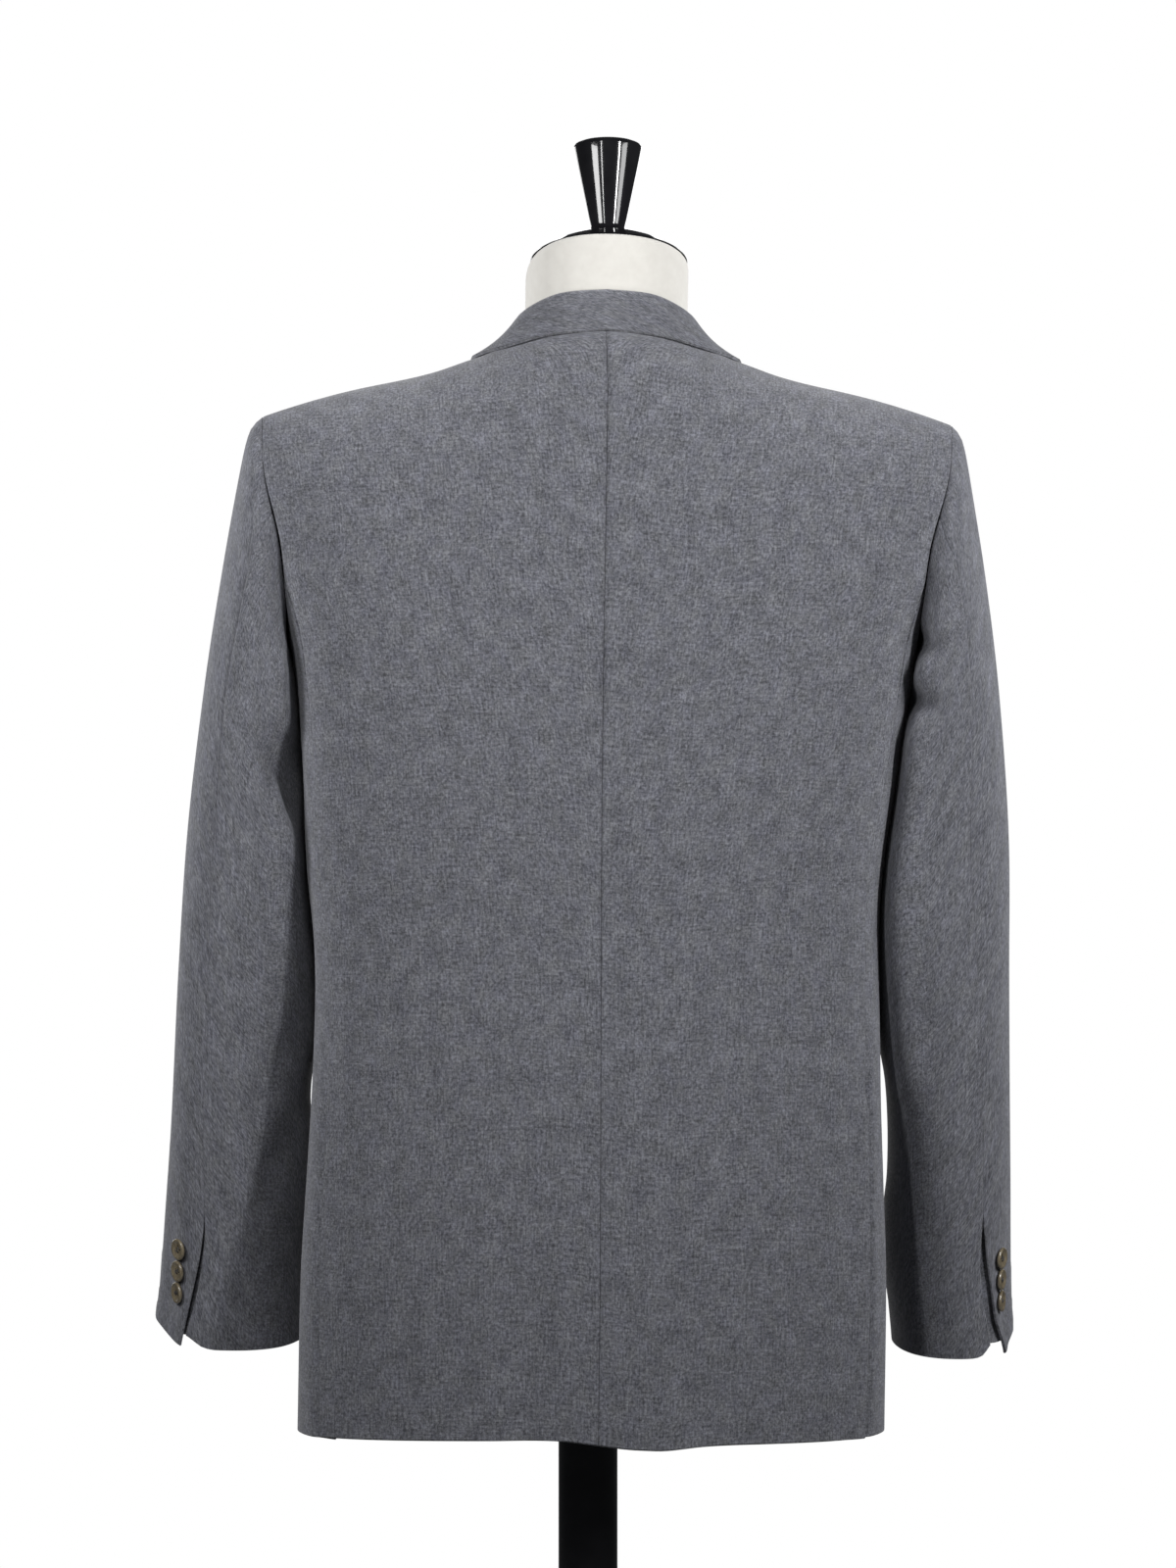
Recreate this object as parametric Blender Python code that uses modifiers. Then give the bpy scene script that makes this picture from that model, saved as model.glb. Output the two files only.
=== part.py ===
"""A double-breasted wool jacket on a limbless dress form.

Metres, +Z up. The origin is the middle of the base plate's underside, on the floor.
The jacket's front faces -Y and the wearer's left is +X.

The jacket is worked out as rings round the body. A point on it is given by its turn
(0 at the centre back, 0.5 at the side, 1 at the centre front) and its level (0 at the
hem, 1 at the bottom of the armhole, 2 on the ridge of the shoulder, where the shoulder
seam lies). Every cloth piece is a wall through a grid of such points.
"""
import math
from collections import namedtuple

import bmesh
import bpy
from mathutils import Matrix, Vector

# ---------------------------------------------------------------- driving dimensions
HEM = 0.757                # height of the jacket's hem above the floor
ARMHOLE = 1.288            # height of the bottom of the armholes
WALL = 0.0020              # thickness of the cloth with its canvas
SEAM_GAP = 0.0003          # space left between pieces that meet
LEAN_X = -0.0160           # how far the form leans to its right, per metre of height
LEAN_FOOT = -0.0020        # the same at the hem
NECK_UPRIGHT = 0.10        # how much of the height the neck doesn't lean with
WAIST_SWAY = 0.0035        # how far the flanks hang to the left at the waist
CENTRE_DRIFT = 0.0048      # how far the centre back seam hangs off to the right at the hem
TILT = 0.0130              # how far the shoulders drop to the right, per metre of width

VENT_TOP = 0.995           # height of the top of the side vents
VENT_LAP = 0.030           # turn by which the side body runs on under the back, below it
OVERLAP = 0.075            # how far the left front passes the centre
BREAK = 1.095              # height where the lapels start to roll
ROLL_NECK = 0.0660         # half width between the roll lines at the neck
FOLD_RADIUS = 0.0024       # radius of the soft roll of a lapel
ROLL_LIFT = 0.0058         # the collar's fold lies this far out where it meets the lapels
ARMHOLE_HALF = {"back": 0.150, "front": 0.163}   # half turns of an armhole
ARMHOLE_RISE = 0.35        # levels in which it opens to that

SHOULDER_GAP = 0.0015      # level left between a back or front and the shoulder seam
LINE_GAP = 0.0007          # turn left at each side of a sleeve's seams

BUTTON_FRONT = 0.0200      # diameter of a front button
BUTTON_CUFF = 0.0150       # diameter of a cuff button
CUFF_PITCH = 0.0152        # cuff buttons nearly touch
CUFF_BUTTON_UP = 0.036     # the lowest cuff button above the cuff's edge
CUFF_BUTTON_TURN = {"left": 0.132, "right": 0.118}   # where they are round the cuff
BUTTON_CLEAR = 0.0002      # from the cloth to a button's back, less its own hollow
FRONT_PITCH = 0.105        # height between the rows of front buttons
BUTTON_X = 0.055           # the lower rows' buttons from the centre
BUTTON_X_TOP = 0.088       # the top row's, which stands wider

POLE = 0.0405              # diameter of the form's pole
BASE = 0.360               # diameter of its base plate
BASE_THICK = 0.012
FORM_FOOT = 0.865          # height of the torso's flat underside
NECK_TOP = 1.558           # height of the neck's slanting top at its middle
NECK_SLANT = math.radians(17.0)
FINIAL_TILT = math.radians(9.0)

# ------------------------------------------------------------------ section tables
# The rings below the armholes: half width, depth to the front and to the back, how
# square the ring is (2 is an ellipse), and the turn of the seams of the side body.
Ring = namedtuple("Ring", "height half_width front back square back_seam front_seam")
RINGS = (
    Ring(0.757, 0.2005, 0.130, 0.124, 2.30, 0.355, 0.622),
    Ring(0.863, 0.2000, 0.129, 0.123, 2.30, 0.365, 0.622),
    Ring(0.930, 0.1970, 0.127, 0.119, 2.30, 0.371, 0.622),
    Ring(1.000, 0.1940, 0.124, 0.113, 2.32, 0.377, 0.620),
    Ring(1.090, 0.1930, 0.120, 0.106, 2.36, 0.382, 0.618),
    Ring(1.160, 0.1985, 0.122, 0.109, 2.50, 0.384, 0.618),
    Ring(1.236, 0.2060, 0.127, 0.114, 2.75, 0.384, 0.620),
    Ring(1.288, 0.2125, 0.130, 0.118, 3.00, 0.380, 0.625),
)

# The rings above them close over the shoulders. The roll is 0 degrees at the armhole's
# bottom and 90 on the ridge.
Yoke = namedtuple("Yoke", "roll half_width front back")
YOKE = (
    Yoke(0.0, 0.2125, 0.130, 0.118),
    Yoke(6.0, 0.2200, 0.130, 0.119),
    Yoke(12.0, 0.2268, 0.131, 0.121),
    Yoke(20.0, 0.2340, 0.131, 0.124),
    Yoke(31.5, 0.2435, 0.130, 0.127),
    Yoke(45.0, 0.2500, 0.128, 0.130),
    Yoke(66.0, 0.2529, 0.124, 0.132),
    Yoke(90.0, 0.2543, 0.122, 0.132),
)
YOKE_ROUND = 2.5           # how full the rings are as they close over the shoulder

# A sleeve's rings: where each ring's outer and inner ends lie, how far forward its
# middle is, its half depth, and the turns of the back and front seams round it.
Arm = namedtuple("Arm", "place outer_x outer_z inner_x inner_z middle_y half_depth"
                        " back_seam front_seam")
ARMS = {
    "left": (
        Arm("armhole", 0.2360, 1.4480, 0.2145, 1.2870, 0.000, 0.072, 0.220, 0.720),
        Arm("crown", 0.2445, 1.4370, 0.2148, 1.2760, 0.001, 0.074, 0.228, 0.720),
        Arm("cap", 0.2520, 1.4000, 0.2130, 1.2640, 0.002, 0.076, 0.208, 0.715),
        Arm("upper", 0.2620, 1.3380, 0.2097, 1.2420, 0.002, 0.077, 0.190, 0.710),
        Arm("biceps", 0.2725, 1.2640, 0.2060, 1.2050, 0.000, 0.076, 0.172, 0.705),
        Arm("above elbow", 0.2825, 1.1700, 0.2000, 1.1450, -0.004, 0.070, 0.172, 0.700),
        Arm("elbow", 0.2882, 1.0700, 0.1966, 1.0600, -0.012, 0.064, 0.168, 0.700),
        Arm("forearm", 0.2927, 0.9600, 0.2008, 0.9560, -0.026, 0.059, 0.175, 0.700),
        Arm("wrist", 0.2990, 0.8700, 0.2020, 0.8690, -0.040, 0.054, 0.178, 0.700),
        Arm("cuff", 0.3033, 0.8135, 0.1995, 0.8135, -0.048, 0.052, 0.158, 0.700),
    ),
    "right": (
        Arm("armhole", 0.2360, 1.4480, 0.2145, 1.2870, 0.000, 0.072, 0.215, 0.720),
        Arm("crown", 0.2432, 1.4370, 0.2148, 1.2760, 0.001, 0.074, 0.235, 0.720),
        Arm("cap", 0.2505, 1.4000, 0.2130, 1.2640, 0.002, 0.077, 0.212, 0.715),
        Arm("upper", 0.2610, 1.3380, 0.2097, 1.2420, 0.002, 0.079, 0.199, 0.710),
        Arm("biceps", 0.2710, 1.2640, 0.2060, 1.2050, 0.000, 0.079, 0.197, 0.705),
        Arm("above elbow", 0.2795, 1.1700, 0.2002, 1.1450, -0.004, 0.074, 0.208, 0.700),
        Arm("elbow", 0.2820, 1.0700, 0.1974, 1.0600, -0.012, 0.068, 0.180, 0.700),
        Arm("forearm", 0.2855, 0.9600, 0.2042, 0.9560, -0.026, 0.062, 0.175, 0.700),
        Arm("wrist", 0.2890, 0.8700, 0.2052, 0.8690, -0.040, 0.057, 0.174, 0.700),
        Arm("cuff", 0.2921, 0.8085, 0.2105, 0.8085, -0.048, 0.055, 0.171, 0.700),
    ),
}
CUFF_SLANT = 0.07          # the back of the cuff hangs lower, per metre of its depth
ARM_WRAP = 0.022           # how much further forward a sleeve's inner side hangs
ARM_WRAP_FROM = (1.400, 1.260)   # heights between which it comes to do so

# The largest folds of the sleeves: soft hollows at the bend of the elbow. Each is placed
# by ring and turn, with its reach along and round the sleeve and its depth.
Hollow = namedtuple("Hollow", "ring turn along round depth")
HOLLOWS = {
    "left": (Hollow(4.4, 0.33, 0.55, 0.17, 0.0040), Hollow(6.0, 0.30, 0.70, 0.15, 0.0030)),
    "right": (Hollow(4.8, 0.27, 0.60, 0.15, 0.0040), Hollow(6.3, 0.34, 0.70, 0.15, 0.0025)),
}

# The collar, from the centre back round to its front point: where its top fold runs, how
# far across its stand is sewn on, where its outer edge lands on the jacket and how far out
# it lies there. The last two rows' folds lie on the front's roll line, so only their
# height is given.
Fold = namedtuple("Fold", "place fold_x fold_y fold_z lands foot_x foot_z edge_x edge_z"
                          " foot_lift edge_lift")
COLLAR = (
    Fold("centre back", 0.0, 0.0540, 1.5345, "back", 0.0, None, 0.0, 1.5040, 0.0, 0.0032),
    Fold("back", 0.0300, 0.0475, 1.5325, "back", 0.0300, None, 0.0370, 1.5005, 0.0, 0.0032),
    Fold("corner", 0.0520, 0.0240, 1.5240, "back", 0.0560, None, 0.0680, 1.4935, 0.0, 0.0032),
    Fold("side", 0.0592, -0.0080, 1.5175, "ridge", 0.0715, None, 0.0880, None, 0.0032, 0.0036),
    Fold("shoulder", 0.0602, -0.0290, 1.5110, "front", 0.0720, 1.4950, 0.0925, 1.4850,
         0.0038, 0.0068),
    Fold("front side", None, None, 1.4920, "front", 0.0720, 1.4870, 0.1030, 1.4630,
         0.0038, 0.0068),
    Fold("point", None, None, 1.4680, "front", 0.0620, 1.4620, 0.1130, 1.4280,
         0.0038, 0.0068),
)

# The torso of the form, in level rings: it fills the shoulders and stays clear lower.
Torso = namedtuple("Torso", "height half_width front back middle")
TORSO = (
    Torso(0.865, 0.178, 0.112, 0.102, 0.000),
    Torso(0.960, 0.176, 0.110, 0.099, 0.000),
    Torso(1.080, 0.168, 0.106, 0.092, 0.000),
    Torso(1.200, 0.180, 0.112, 0.098, 0.000),
    Torso(1.300, 0.192, 0.116, 0.103, 0.000),
    Torso(1.370, 0.202, 0.108, 0.104, 0.000),
    Torso(1.420, 0.204, 0.092, 0.092, 0.000),
    Torso(1.445, 0.198, 0.079, 0.081, 0.000),
    Torso(1.462, 0.174, 0.070, 0.073, 0.000),
    Torso(1.4735, 0.130, 0.063, 0.064, 0.000),
    Torso(1.483, 0.093, 0.060, 0.058, -0.002),
    Torso(1.490, 0.077, 0.059, 0.056, -0.005),
    Torso(1.499, 0.064, 0.058, 0.054, -0.007),
    Torso(1.510, 0.0568, 0.0572, 0.0545, -0.007),
    Torso(1.530, 0.0560, 0.0572, 0.0555, -0.007),
)
TORSO_SIDES = 36

COLOURS = {
    "flannel": (0.135, 0.137, 0.152),
    "horn": (0.150, 0.120, 0.075),
    "cover": (0.760, 0.740, 0.690),
    "black": (0.010, 0.010, 0.012),
}


# -------------------------------------------------------------- reading the tables
def read(table, key, column, at):
    """The column's value at a key, on a smooth curve through the table's rows."""
    rows = [(getattr(row, key), getattr(row, column)) for row in table]
    if at <= rows[0][0]:
        return rows[0][1]
    if at >= rows[-1][0]:
        return rows[-1][1]
    k = max(i for i, row in enumerate(rows) if row[0] <= at)
    return hermite(rows, k, at)


def hermite(rows, k, at):
    """A cubic between row k and the next, with the slopes of their neighbours."""
    def slope(i):
        a = rows[max(i - 1, 0)]
        b = rows[min(i + 1, len(rows) - 1)]
        return (b[1] - a[1]) * (1.0 / (b[0] - a[0]))
    (x0, y0), (x1, y1) = rows[k], rows[k + 1]
    span = x1 - x0
    t = (at - x0) / span
    start = (1 + 2 * t) * (1 - t) ** 2 * y0 + t * (1 - t) ** 2 * span * slope(k)
    end = t * t * (3 - 2 * t) * y1 + t * t * (t - 1) * span * slope(k + 1)
    return start + end


def ease(low, high, at):
    """0 below low, 1 above high, and a soft step between them."""
    t = min(1.0, max(0.0, (at - low) / (high - low)))
    return t * t * (3 - 2 * t)


def power(value, exponent):
    """A power that keeps the value's sign."""
    return math.copysign(abs(value) ** exponent, value)


# ------------------------------------------------------------------ the body's form
def ridge(x):
    """Height of the shoulder ridge at a distance from the centre line."""
    x = abs(x)
    slope = 1.4794 - 0.24 * (x - 0.122)
    rounding = 0.9 * max(0.0, x - 0.17) ** 2
    neck_rise = 0.022 * max(0.0, 1 - (x / 0.12) ** 2) ** 3
    rise = 0.0010 * math.exp(-((x - 0.098) / 0.014) ** 2)
    dip = 0.0010 * math.exp(-((x - 0.132) / 0.026) ** 2)
    return slope - rounding + neck_rise + rise - dip


def body(turn, level):
    """A point of the jacket's middle surface, on the wearer's left side."""
    across = math.sin(math.pi * turn)
    along = math.cos(math.pi * turn)
    depth = "back" if along > 0 else "front"
    if level <= 1:
        z = HEM + (ARMHOLE - HEM) * level
        square = read(RINGS, "height", "square", z)
        x = read(RINGS, "height", "half_width", z) * power(across, 2 / square)
        y = read(RINGS, "height", depth, z) * power(along, 2 / square)
        return Vector((x, y, z))
    roll = 90.0 * (level - 1)
    square = RINGS[-1].square
    x = read(YOKE, "roll", "half_width", roll) * power(across, 2 / square)
    closing = max(0.0, math.cos(math.radians(roll))) ** (2 / YOKE_ROUND)
    rising = math.sin(math.radians(roll)) ** (2 / YOKE_ROUND)
    y = read(YOKE, "roll", depth, roll) * closing * power(along, 2 / square)
    return Vector((x, y, ARMHOLE + (ridge(x) - ARMHOLE) * rising))


def outward(turn, level):
    """The direction out of the jacket at a point of its middle surface."""
    d = 0.004
    low, high = max(level - d, 0.0), min(level + d, 2.0)
    if high > 1.0 > low:
        low, high = (1.0, high) if level > 1.0 else (low, 1.0)
    round_it = body(turn + d, level) - body(turn - d, level)
    up = body(turn, high) - body(turn, low)
    return up.cross(round_it).normalized()


def laid(turn, level, out=0.0):
    """A point moved out from the jacket's middle surface."""
    return body(turn, level) + outward(turn, level) * out


def level_of(height):
    return (height - HEM) / (ARMHOLE - HEM)


def find(x, z, facing):
    """Turn and level of the body's point at x across and z up, on its back or front."""
    if z <= ARMHOLE:
        level = level_of(z)
        width = read(RINGS, "height", "half_width", z)
        square = read(RINGS, "height", "square", z)
    else:
        rising = min(1.0, (z - ARMHOLE) / (ridge(x) - ARMHOLE))
        roll = math.degrees(math.asin(rising ** (YOKE_ROUND / 2)))
        level = 1 + roll / 90.0
        width = read(YOKE, "roll", "half_width", roll)
        square = RINGS[-1].square
    part = min(1.0, abs(x) / width) ** (square / 2)
    turn = math.copysign(math.asin(part) / math.pi, x)
    return (turn if facing == "back" else 1 - turn), level


# ------------------------------------------------------------------------- seams
def armhole_half(level, facing):
    """Half the armhole's turn at a level: it opens below like a U."""
    t = min(1.0, max(0.0, (level - 1.0) / ARMHOLE_RISE))
    return ARMHOLE_HALF[facing] * math.sqrt(1 - (1 - t) ** 2)


def armhole_level(turn):
    """Level of the armhole's lower edge at a turn under the arm."""
    part = min(1.0, abs(turn - 0.5) / ARMHOLE_HALF["back" if turn < 0.5 else "front"])
    return 1.0 + ARMHOLE_RISE * (1 - math.sqrt(1 - part * part))


def body_seam(level, name):
    """Turn of the side body's back or front seam."""
    height = body(0.5, level).z if level <= 1 else ARMHOLE
    return read(RINGS, "height", name, height)


def roll_x(z):
    """How far across, at a height, the front folds out into its lapel."""
    part = (z - BREAK) / (ridge(ROLL_NECK) - BREAK)
    return -OVERLAP + (OVERLAP + ROLL_NECK) * part


def roll_line(level):
    """Turn of the roll line at a level, on the front's own side."""
    x = 0.0
    for _ in range(12):
        z = body(find(x, 1.4, "front")[0], level).z if level > 1 else body(1.0, level).z
        x = roll_x(z)
    width = (read(RINGS, "height", "half_width", z) if level <= 1
             else read(YOKE, "roll", "half_width", 90 * (level - 1)))
    square = read(RINGS, "height", "square", z) if level <= 1 else RINGS[-1].square
    return 1 - math.copysign(math.asin((abs(x) / width) ** (square / 2)) / math.pi, x)


def front_edge(level):
    """Turn of the front's free edge: straight down the overlap, then the roll line."""
    if level <= level_of(BREAK):
        return find(-OVERLAP, HEM + (ARMHOLE - HEM) * level, "front")[0]
    return roll_line(level)


def layer(side_name, x, z):
    """How far a front lies out of the jacket's surface, where the fronts overlap."""
    half = (WALL + SEAM_GAP) * 0.62 * (1 - ease(OVERLAP, OVERLAP + 0.05, x))
    half *= 1 - ease(1.36, 1.44, z)
    if side_name == "right":
        return -half
    room = (2 * FOLD_RADIUS + 0.0002) * (1 - ease(OVERLAP + 0.005, OVERLAP + 0.075, x))
    return half + room * ease(BREAK - 0.060, BREAK - 0.004, z) * (1 - ease(1.34, 1.42, z))


def shift(turn, level, distance):
    """The turn that lies a distance further round."""
    d = 0.002
    pace = (body(turn + d, level) - body(turn - d, level)).length / (2 * d)
    return turn + distance / pace


# ------------------------------------------------------------------- making pieces
def lean(point, side):
    """Sets a point of the left side in its place: mirrored if need be, and leaning."""
    x = point.x * side
    up = point.z - HEM
    across = LEAN_FOOT + LEAN_X * (up - NECK_UPRIGHT * ease(1.46, 1.51, point.z))
    flank = ease(0.06, 0.16, abs(x)) * (1 - ease(0.200, 0.235, abs(x)))
    across += WAIST_SWAY * flank * math.exp(-((point.z - 1.140) / 0.055) ** 2)
    return Vector((x + across, point.y, point.z + TILT * x * up / 0.7))


def material(name, roughness):
    found = bpy.data.materials.get(name)
    if found:
        return found
    made = bpy.data.materials.new(name)
    made.use_nodes = True
    shader = made.node_tree.nodes["Principled BSDF"]
    shader.inputs["Base Color"].default_value = (*COLOURS[name], 1.0)
    shader.inputs["Roughness"].default_value = roughness
    made.diffuse_color = (*COLOURS[name], 1.0)
    return made


def add_object(name, mesh, finish, roughness, crease=40.0):
    """Puts a mesh into the jacket's collection as a named object."""
    made = bpy.data.objects.new(name, mesh)
    jacket.objects.link(made)
    mesh.materials.clear()
    mesh.materials.append(material(finish, roughness))
    mesh.shade_smooth()
    mesh.set_sharp_from_angle(angle=math.radians(crease))
    return made


def cloth(name, middles, normals, side):
    """A cloth piece: a wall on both sides of a grid of middle points."""
    rows, columns = len(middles), len(middles[0])
    form = bmesh.new()

    def skin(out):
        return [[form.verts.new(lean(middles[r][c] + normals[r][c] * out, side))
                 for c in range(columns)] for r in range(rows)]

    outer, inner = skin(WALL / 2), skin(-WALL / 2)
    for r in range(rows - 1):
        for c in range(columns - 1):
            form.faces.new((outer[r][c], outer[r][c + 1], outer[r + 1][c + 1], outer[r + 1][c]))
            form.faces.new((inner[r][c], inner[r + 1][c], inner[r + 1][c + 1], inner[r][c + 1]))
    rim = [(0, c) for c in range(columns)]
    rim += [(r, columns - 1) for r in range(1, rows)]
    rim += [(rows - 1, c) for c in range(columns - 2, -1, -1)]
    rim += [(r, 0) for r in range(rows - 2, 0, -1)]
    for (r0, c0), (r1, c1) in zip(rim, rim[1:] + rim[:1]):
        form.faces.new((outer[r1][c1], outer[r0][c0], inner[r0][c0], inner[r1][c1]))
    bmesh.ops.recalc_face_normals(form, faces=form.faces)
    mesh = bpy.data.meshes.new(name)
    form.to_mesh(mesh)
    form.free()
    return add_object(name, mesh, "flannel", 0.9)


def grid_normals(middles, flip):
    """The directions out of a grid of points, from its own neighbours."""
    rows, columns = len(middles), len(middles[0])
    found = []
    for r in range(rows):
        line = []
        for c in range(columns):
            up = middles[min(r + 1, rows - 1)][c] - middles[max(r - 1, 0)][c]
            round_it = middles[r][min(c + 1, columns - 1)] - middles[r][max(c - 1, 0)]
            line.append(up.cross(round_it).normalized() * flip)
        found.append(line)
    return found


def body_panel(name, side, lines):
    """A piece cut on the body. Each line lists its points as (turn, level, out)."""
    middles = [[laid(*point) for point in line] for line in lines]
    normals = [[outward(point[0], point[1]) for point in line] for line in lines]
    return cloth(name, middles, normals, side)


def spread(start, end, count, bias=1.0):
    """Values from start to end, closer together at the start when bias is over 1."""
    return [start + (end - start) * (i / (count - 1)) ** bias for i in range(count)]


HALF_GAP = SEAM_GAP / 2
LOWER_HEIGHTS = (HEM, 0.800, 0.850, 0.900, 0.950, 0.972, 0.985, VENT_TOP, 1.040, BREAK, 1.140,
                 1.190, 1.240, ARMHOLE)
UPPER_ROLLS = (4.0, 9.0, 15.0, 23.0, 31.5, 42.0, 54.0, 65.0, 75.0, 83.0, 90.0)
LEVELS = [level_of(z) for z in LOWER_HEIGHTS] + [1 + roll / 90 for roll in UPPER_ROLLS]


# ------------------------------------------------------------------ body panels
def back_top(x):
    """Level where the back ends: the neckline near the centre, then the shoulder seam."""
    neck_depth = 0.0720 * math.sqrt(max(0.0, 1 - (x / 0.070) ** 2))
    depth = read(YOKE, "roll", "back", 66.0)
    closing = min(1.0, neck_depth / depth) ** (YOKE_ROUND / 2)
    return 1 + math.degrees(math.acos(closing)) / 90.0


def back_panel(side_name, side):
    """A back: from the centre back seam to the side body, the armhole and the shoulder."""
    lines = []
    for index, level in enumerate(LEVELS):
        if level > 1 and armhole_half(level, "back") > 0.5 - body_seam(1, "back_seam"):
            edge = 0.5 - armhole_half(level, "back")
        else:
            edge = body_seam(level, "back_seam")
        edge = shift(edge, level, -HALF_GAP)
        drift = CENTRE_DRIFT * (1 - ease(0.0, 1.0, level))
        start = shift(0.0, level, HALF_GAP - side * drift)
        line = []
        for turn in spread(start, edge, 9, 1.15):
            top = back_top(body(turn, min(level, 1.99)).x) - SHOULDER_GAP
            above = max(0, index - len(LOWER_HEIGHTS) + 1) / len(UPPER_ROLLS)
            own = level - (2.0 - top) * above ** 3 if level > 1 else level
            line.append((turn, own, 0.0))
        lines.append(line)
    return body_panel("back_" + side_name, side, lines)


def side_panel(side_name, side):
    """A side body: under the arm, running on below the back where the vent is open."""
    lines = []
    rows = LEVELS[:len(LOWER_HEIGHTS)]
    for level in rows:
        start = body_seam(level, "back_seam")
        end = shift(body_seam(level, "front_seam"), level, -HALF_GAP)
        vent = 1 - ease(level_of(VENT_TOP - 0.035), level_of(VENT_TOP - 0.011), level)
        below = 1 - ease(level_of(VENT_TOP - 0.009), level_of(VENT_TOP + 0.035), level)
        start = shift(start, level, HALF_GAP)
        turns = [start - VENT_LAP * vent, start - VENT_LAP * 0.4 * vent + 0.006,
                 start + 0.014, start + 0.036]
        turns += spread(turns[-1], end, 6)[1:]
        line = []
        for k, turn in enumerate(turns):
            under = below * (1 - ease(1.9, 3.6, k))
            own = level
            if level > 0.8:
                reach = armhole_level(turn) - 0.004
                own = 0.8 + (level - 0.8) / 0.2 * (reach - 0.8)
            line.append((turn, own, -(WALL + SEAM_GAP) * 1.25 * under))
        lines.append(line)
    return body_panel("side_" + side_name, side, lines)


def front_panel(side_name, side):
    """A front, to its free edge below and to its roll line above."""
    lines = []
    for index, level in enumerate(LEVELS):
        if level > 1 and armhole_half(level, "front") > body_seam(1, "front_seam") - 0.5:
            start = 0.5 + armhole_half(level, "front")
        else:
            start = body_seam(level, "front_seam")
        start = shift(start, level, HALF_GAP)
        edge = shift(front_edge(level), level, -HALF_GAP)
        line = []
        for turn in spread(edge, start, 11)[::-1]:
            place = body(turn, level)
            apart = layer(side_name, place.x, place.z)
            above = max(0, index - len(LOWER_HEIGHTS) + 1) / len(UPPER_ROLLS)
            own = level - SHOULDER_GAP * above
            line.append((turn, own, apart))
        lines.append(line)
    return body_panel("front_" + side_name, side, lines)


# ------------------------------------------------------------------ lapels, collar
# A lapel's outline, from the break up its edge to the point: how far along the roll
# line and how far out from it. Then the top edge back to the roll line.
LAPEL_EDGE = ((0.00, 0.004), (0.06, 0.022), (0.20, 0.048), (0.42, 0.073), (0.66, 0.091),
              (0.926, 0.103))
LAPEL_TOP = ((0.914, 0.000), (0.898, 0.026), (0.872, 0.0660), (0.926, 0.103))


def polyline(points, t):
    """A point at the part t of the way along the listed points."""
    place = t * (len(points) - 1)
    k = min(int(place), len(points) - 2)
    part = place - k
    return tuple(a + (b - a) * part for a, b in zip(points[k], points[k + 1]))


def lapel(side_name, side):
    """A peak lapel: folded out at the roll line and lying on the front."""
    low = Vector((-OVERLAP, 0.0, BREAK))
    high = Vector((ROLL_NECK, 0.0, ridge(ROLL_NECK)))
    run = high - low
    away = Vector((run.z, 0.0, -run.x)).normalized()
    middles = []
    for r in range(13):
        v = r / 12
        edge = polyline(LAPEL_EDGE, v)
        line = []
        for c in range(10):
            u = c / 9
            top = polyline(LAPEL_TOP, u)
            along = v * top[0] + u * (edge[0] - v * LAPEL_EDGE[-1][0])
            out = edge[1] * u + v * (top[1] - LAPEL_TOP[-1][1] * u)
            flat = low + run * along + away * max(out, 0.0)
            line.append(on_front(side_name, flat, FOLD_RADIUS * 2))
        fold_at = low + run * (v * LAPEL_TOP[0][0])
        for angle in (35.0, 90.0):
            a = math.radians(angle)
            back = -away * FOLD_RADIUS * math.sin(a)
            lift = FOLD_RADIUS * (1 + math.cos(a))
            line.insert(0, on_front(side_name, fold_at + back, lift))
        middles.append(line)
    normals = grid_normals(middles, -1.0)
    return cloth("lapel_" + side_name, middles, normals, side)


def on_front(side_name, flat, lift):
    """A point over the front at a place across and up, lifted off it."""
    turn, level = find(flat.x, min(flat.z, ridge(flat.x) - 0.001), "front")
    return laid(turn, level, layer(side_name, flat.x, flat.z) + lift)


def collar_lines(row):
    """A row's three points: the stand's foot, the top fold and the fall's edge."""
    if row.fold_x is None:
        fold = laid(*find(roll_x(row.fold_z), row.fold_z, "front"), ROLL_LIFT)
    else:
        fold = Vector((row.fold_x, row.fold_y, row.fold_z))
    if row.lands == "front":
        foot = laid(*find(row.foot_x, row.foot_z, "front"), row.foot_lift)
        return foot, fold, laid(*find(row.edge_x, row.edge_z, "front"), row.edge_lift)
    if row.lands == "ridge":
        above = ridge(0.0) + 1.0
        foot = laid(*find(row.foot_x, above, "back"), row.foot_lift)
        return foot, fold, laid(*find(row.edge_x, above, "back"), row.edge_lift)
    neckline = back_top(row.foot_x) + 0.024
    foot = body(find(row.foot_x, body(0.1, neckline).z, "back")[0], neckline)
    return foot, fold, laid(*find(row.edge_x, row.edge_z, "back"), row.edge_lift)


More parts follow.
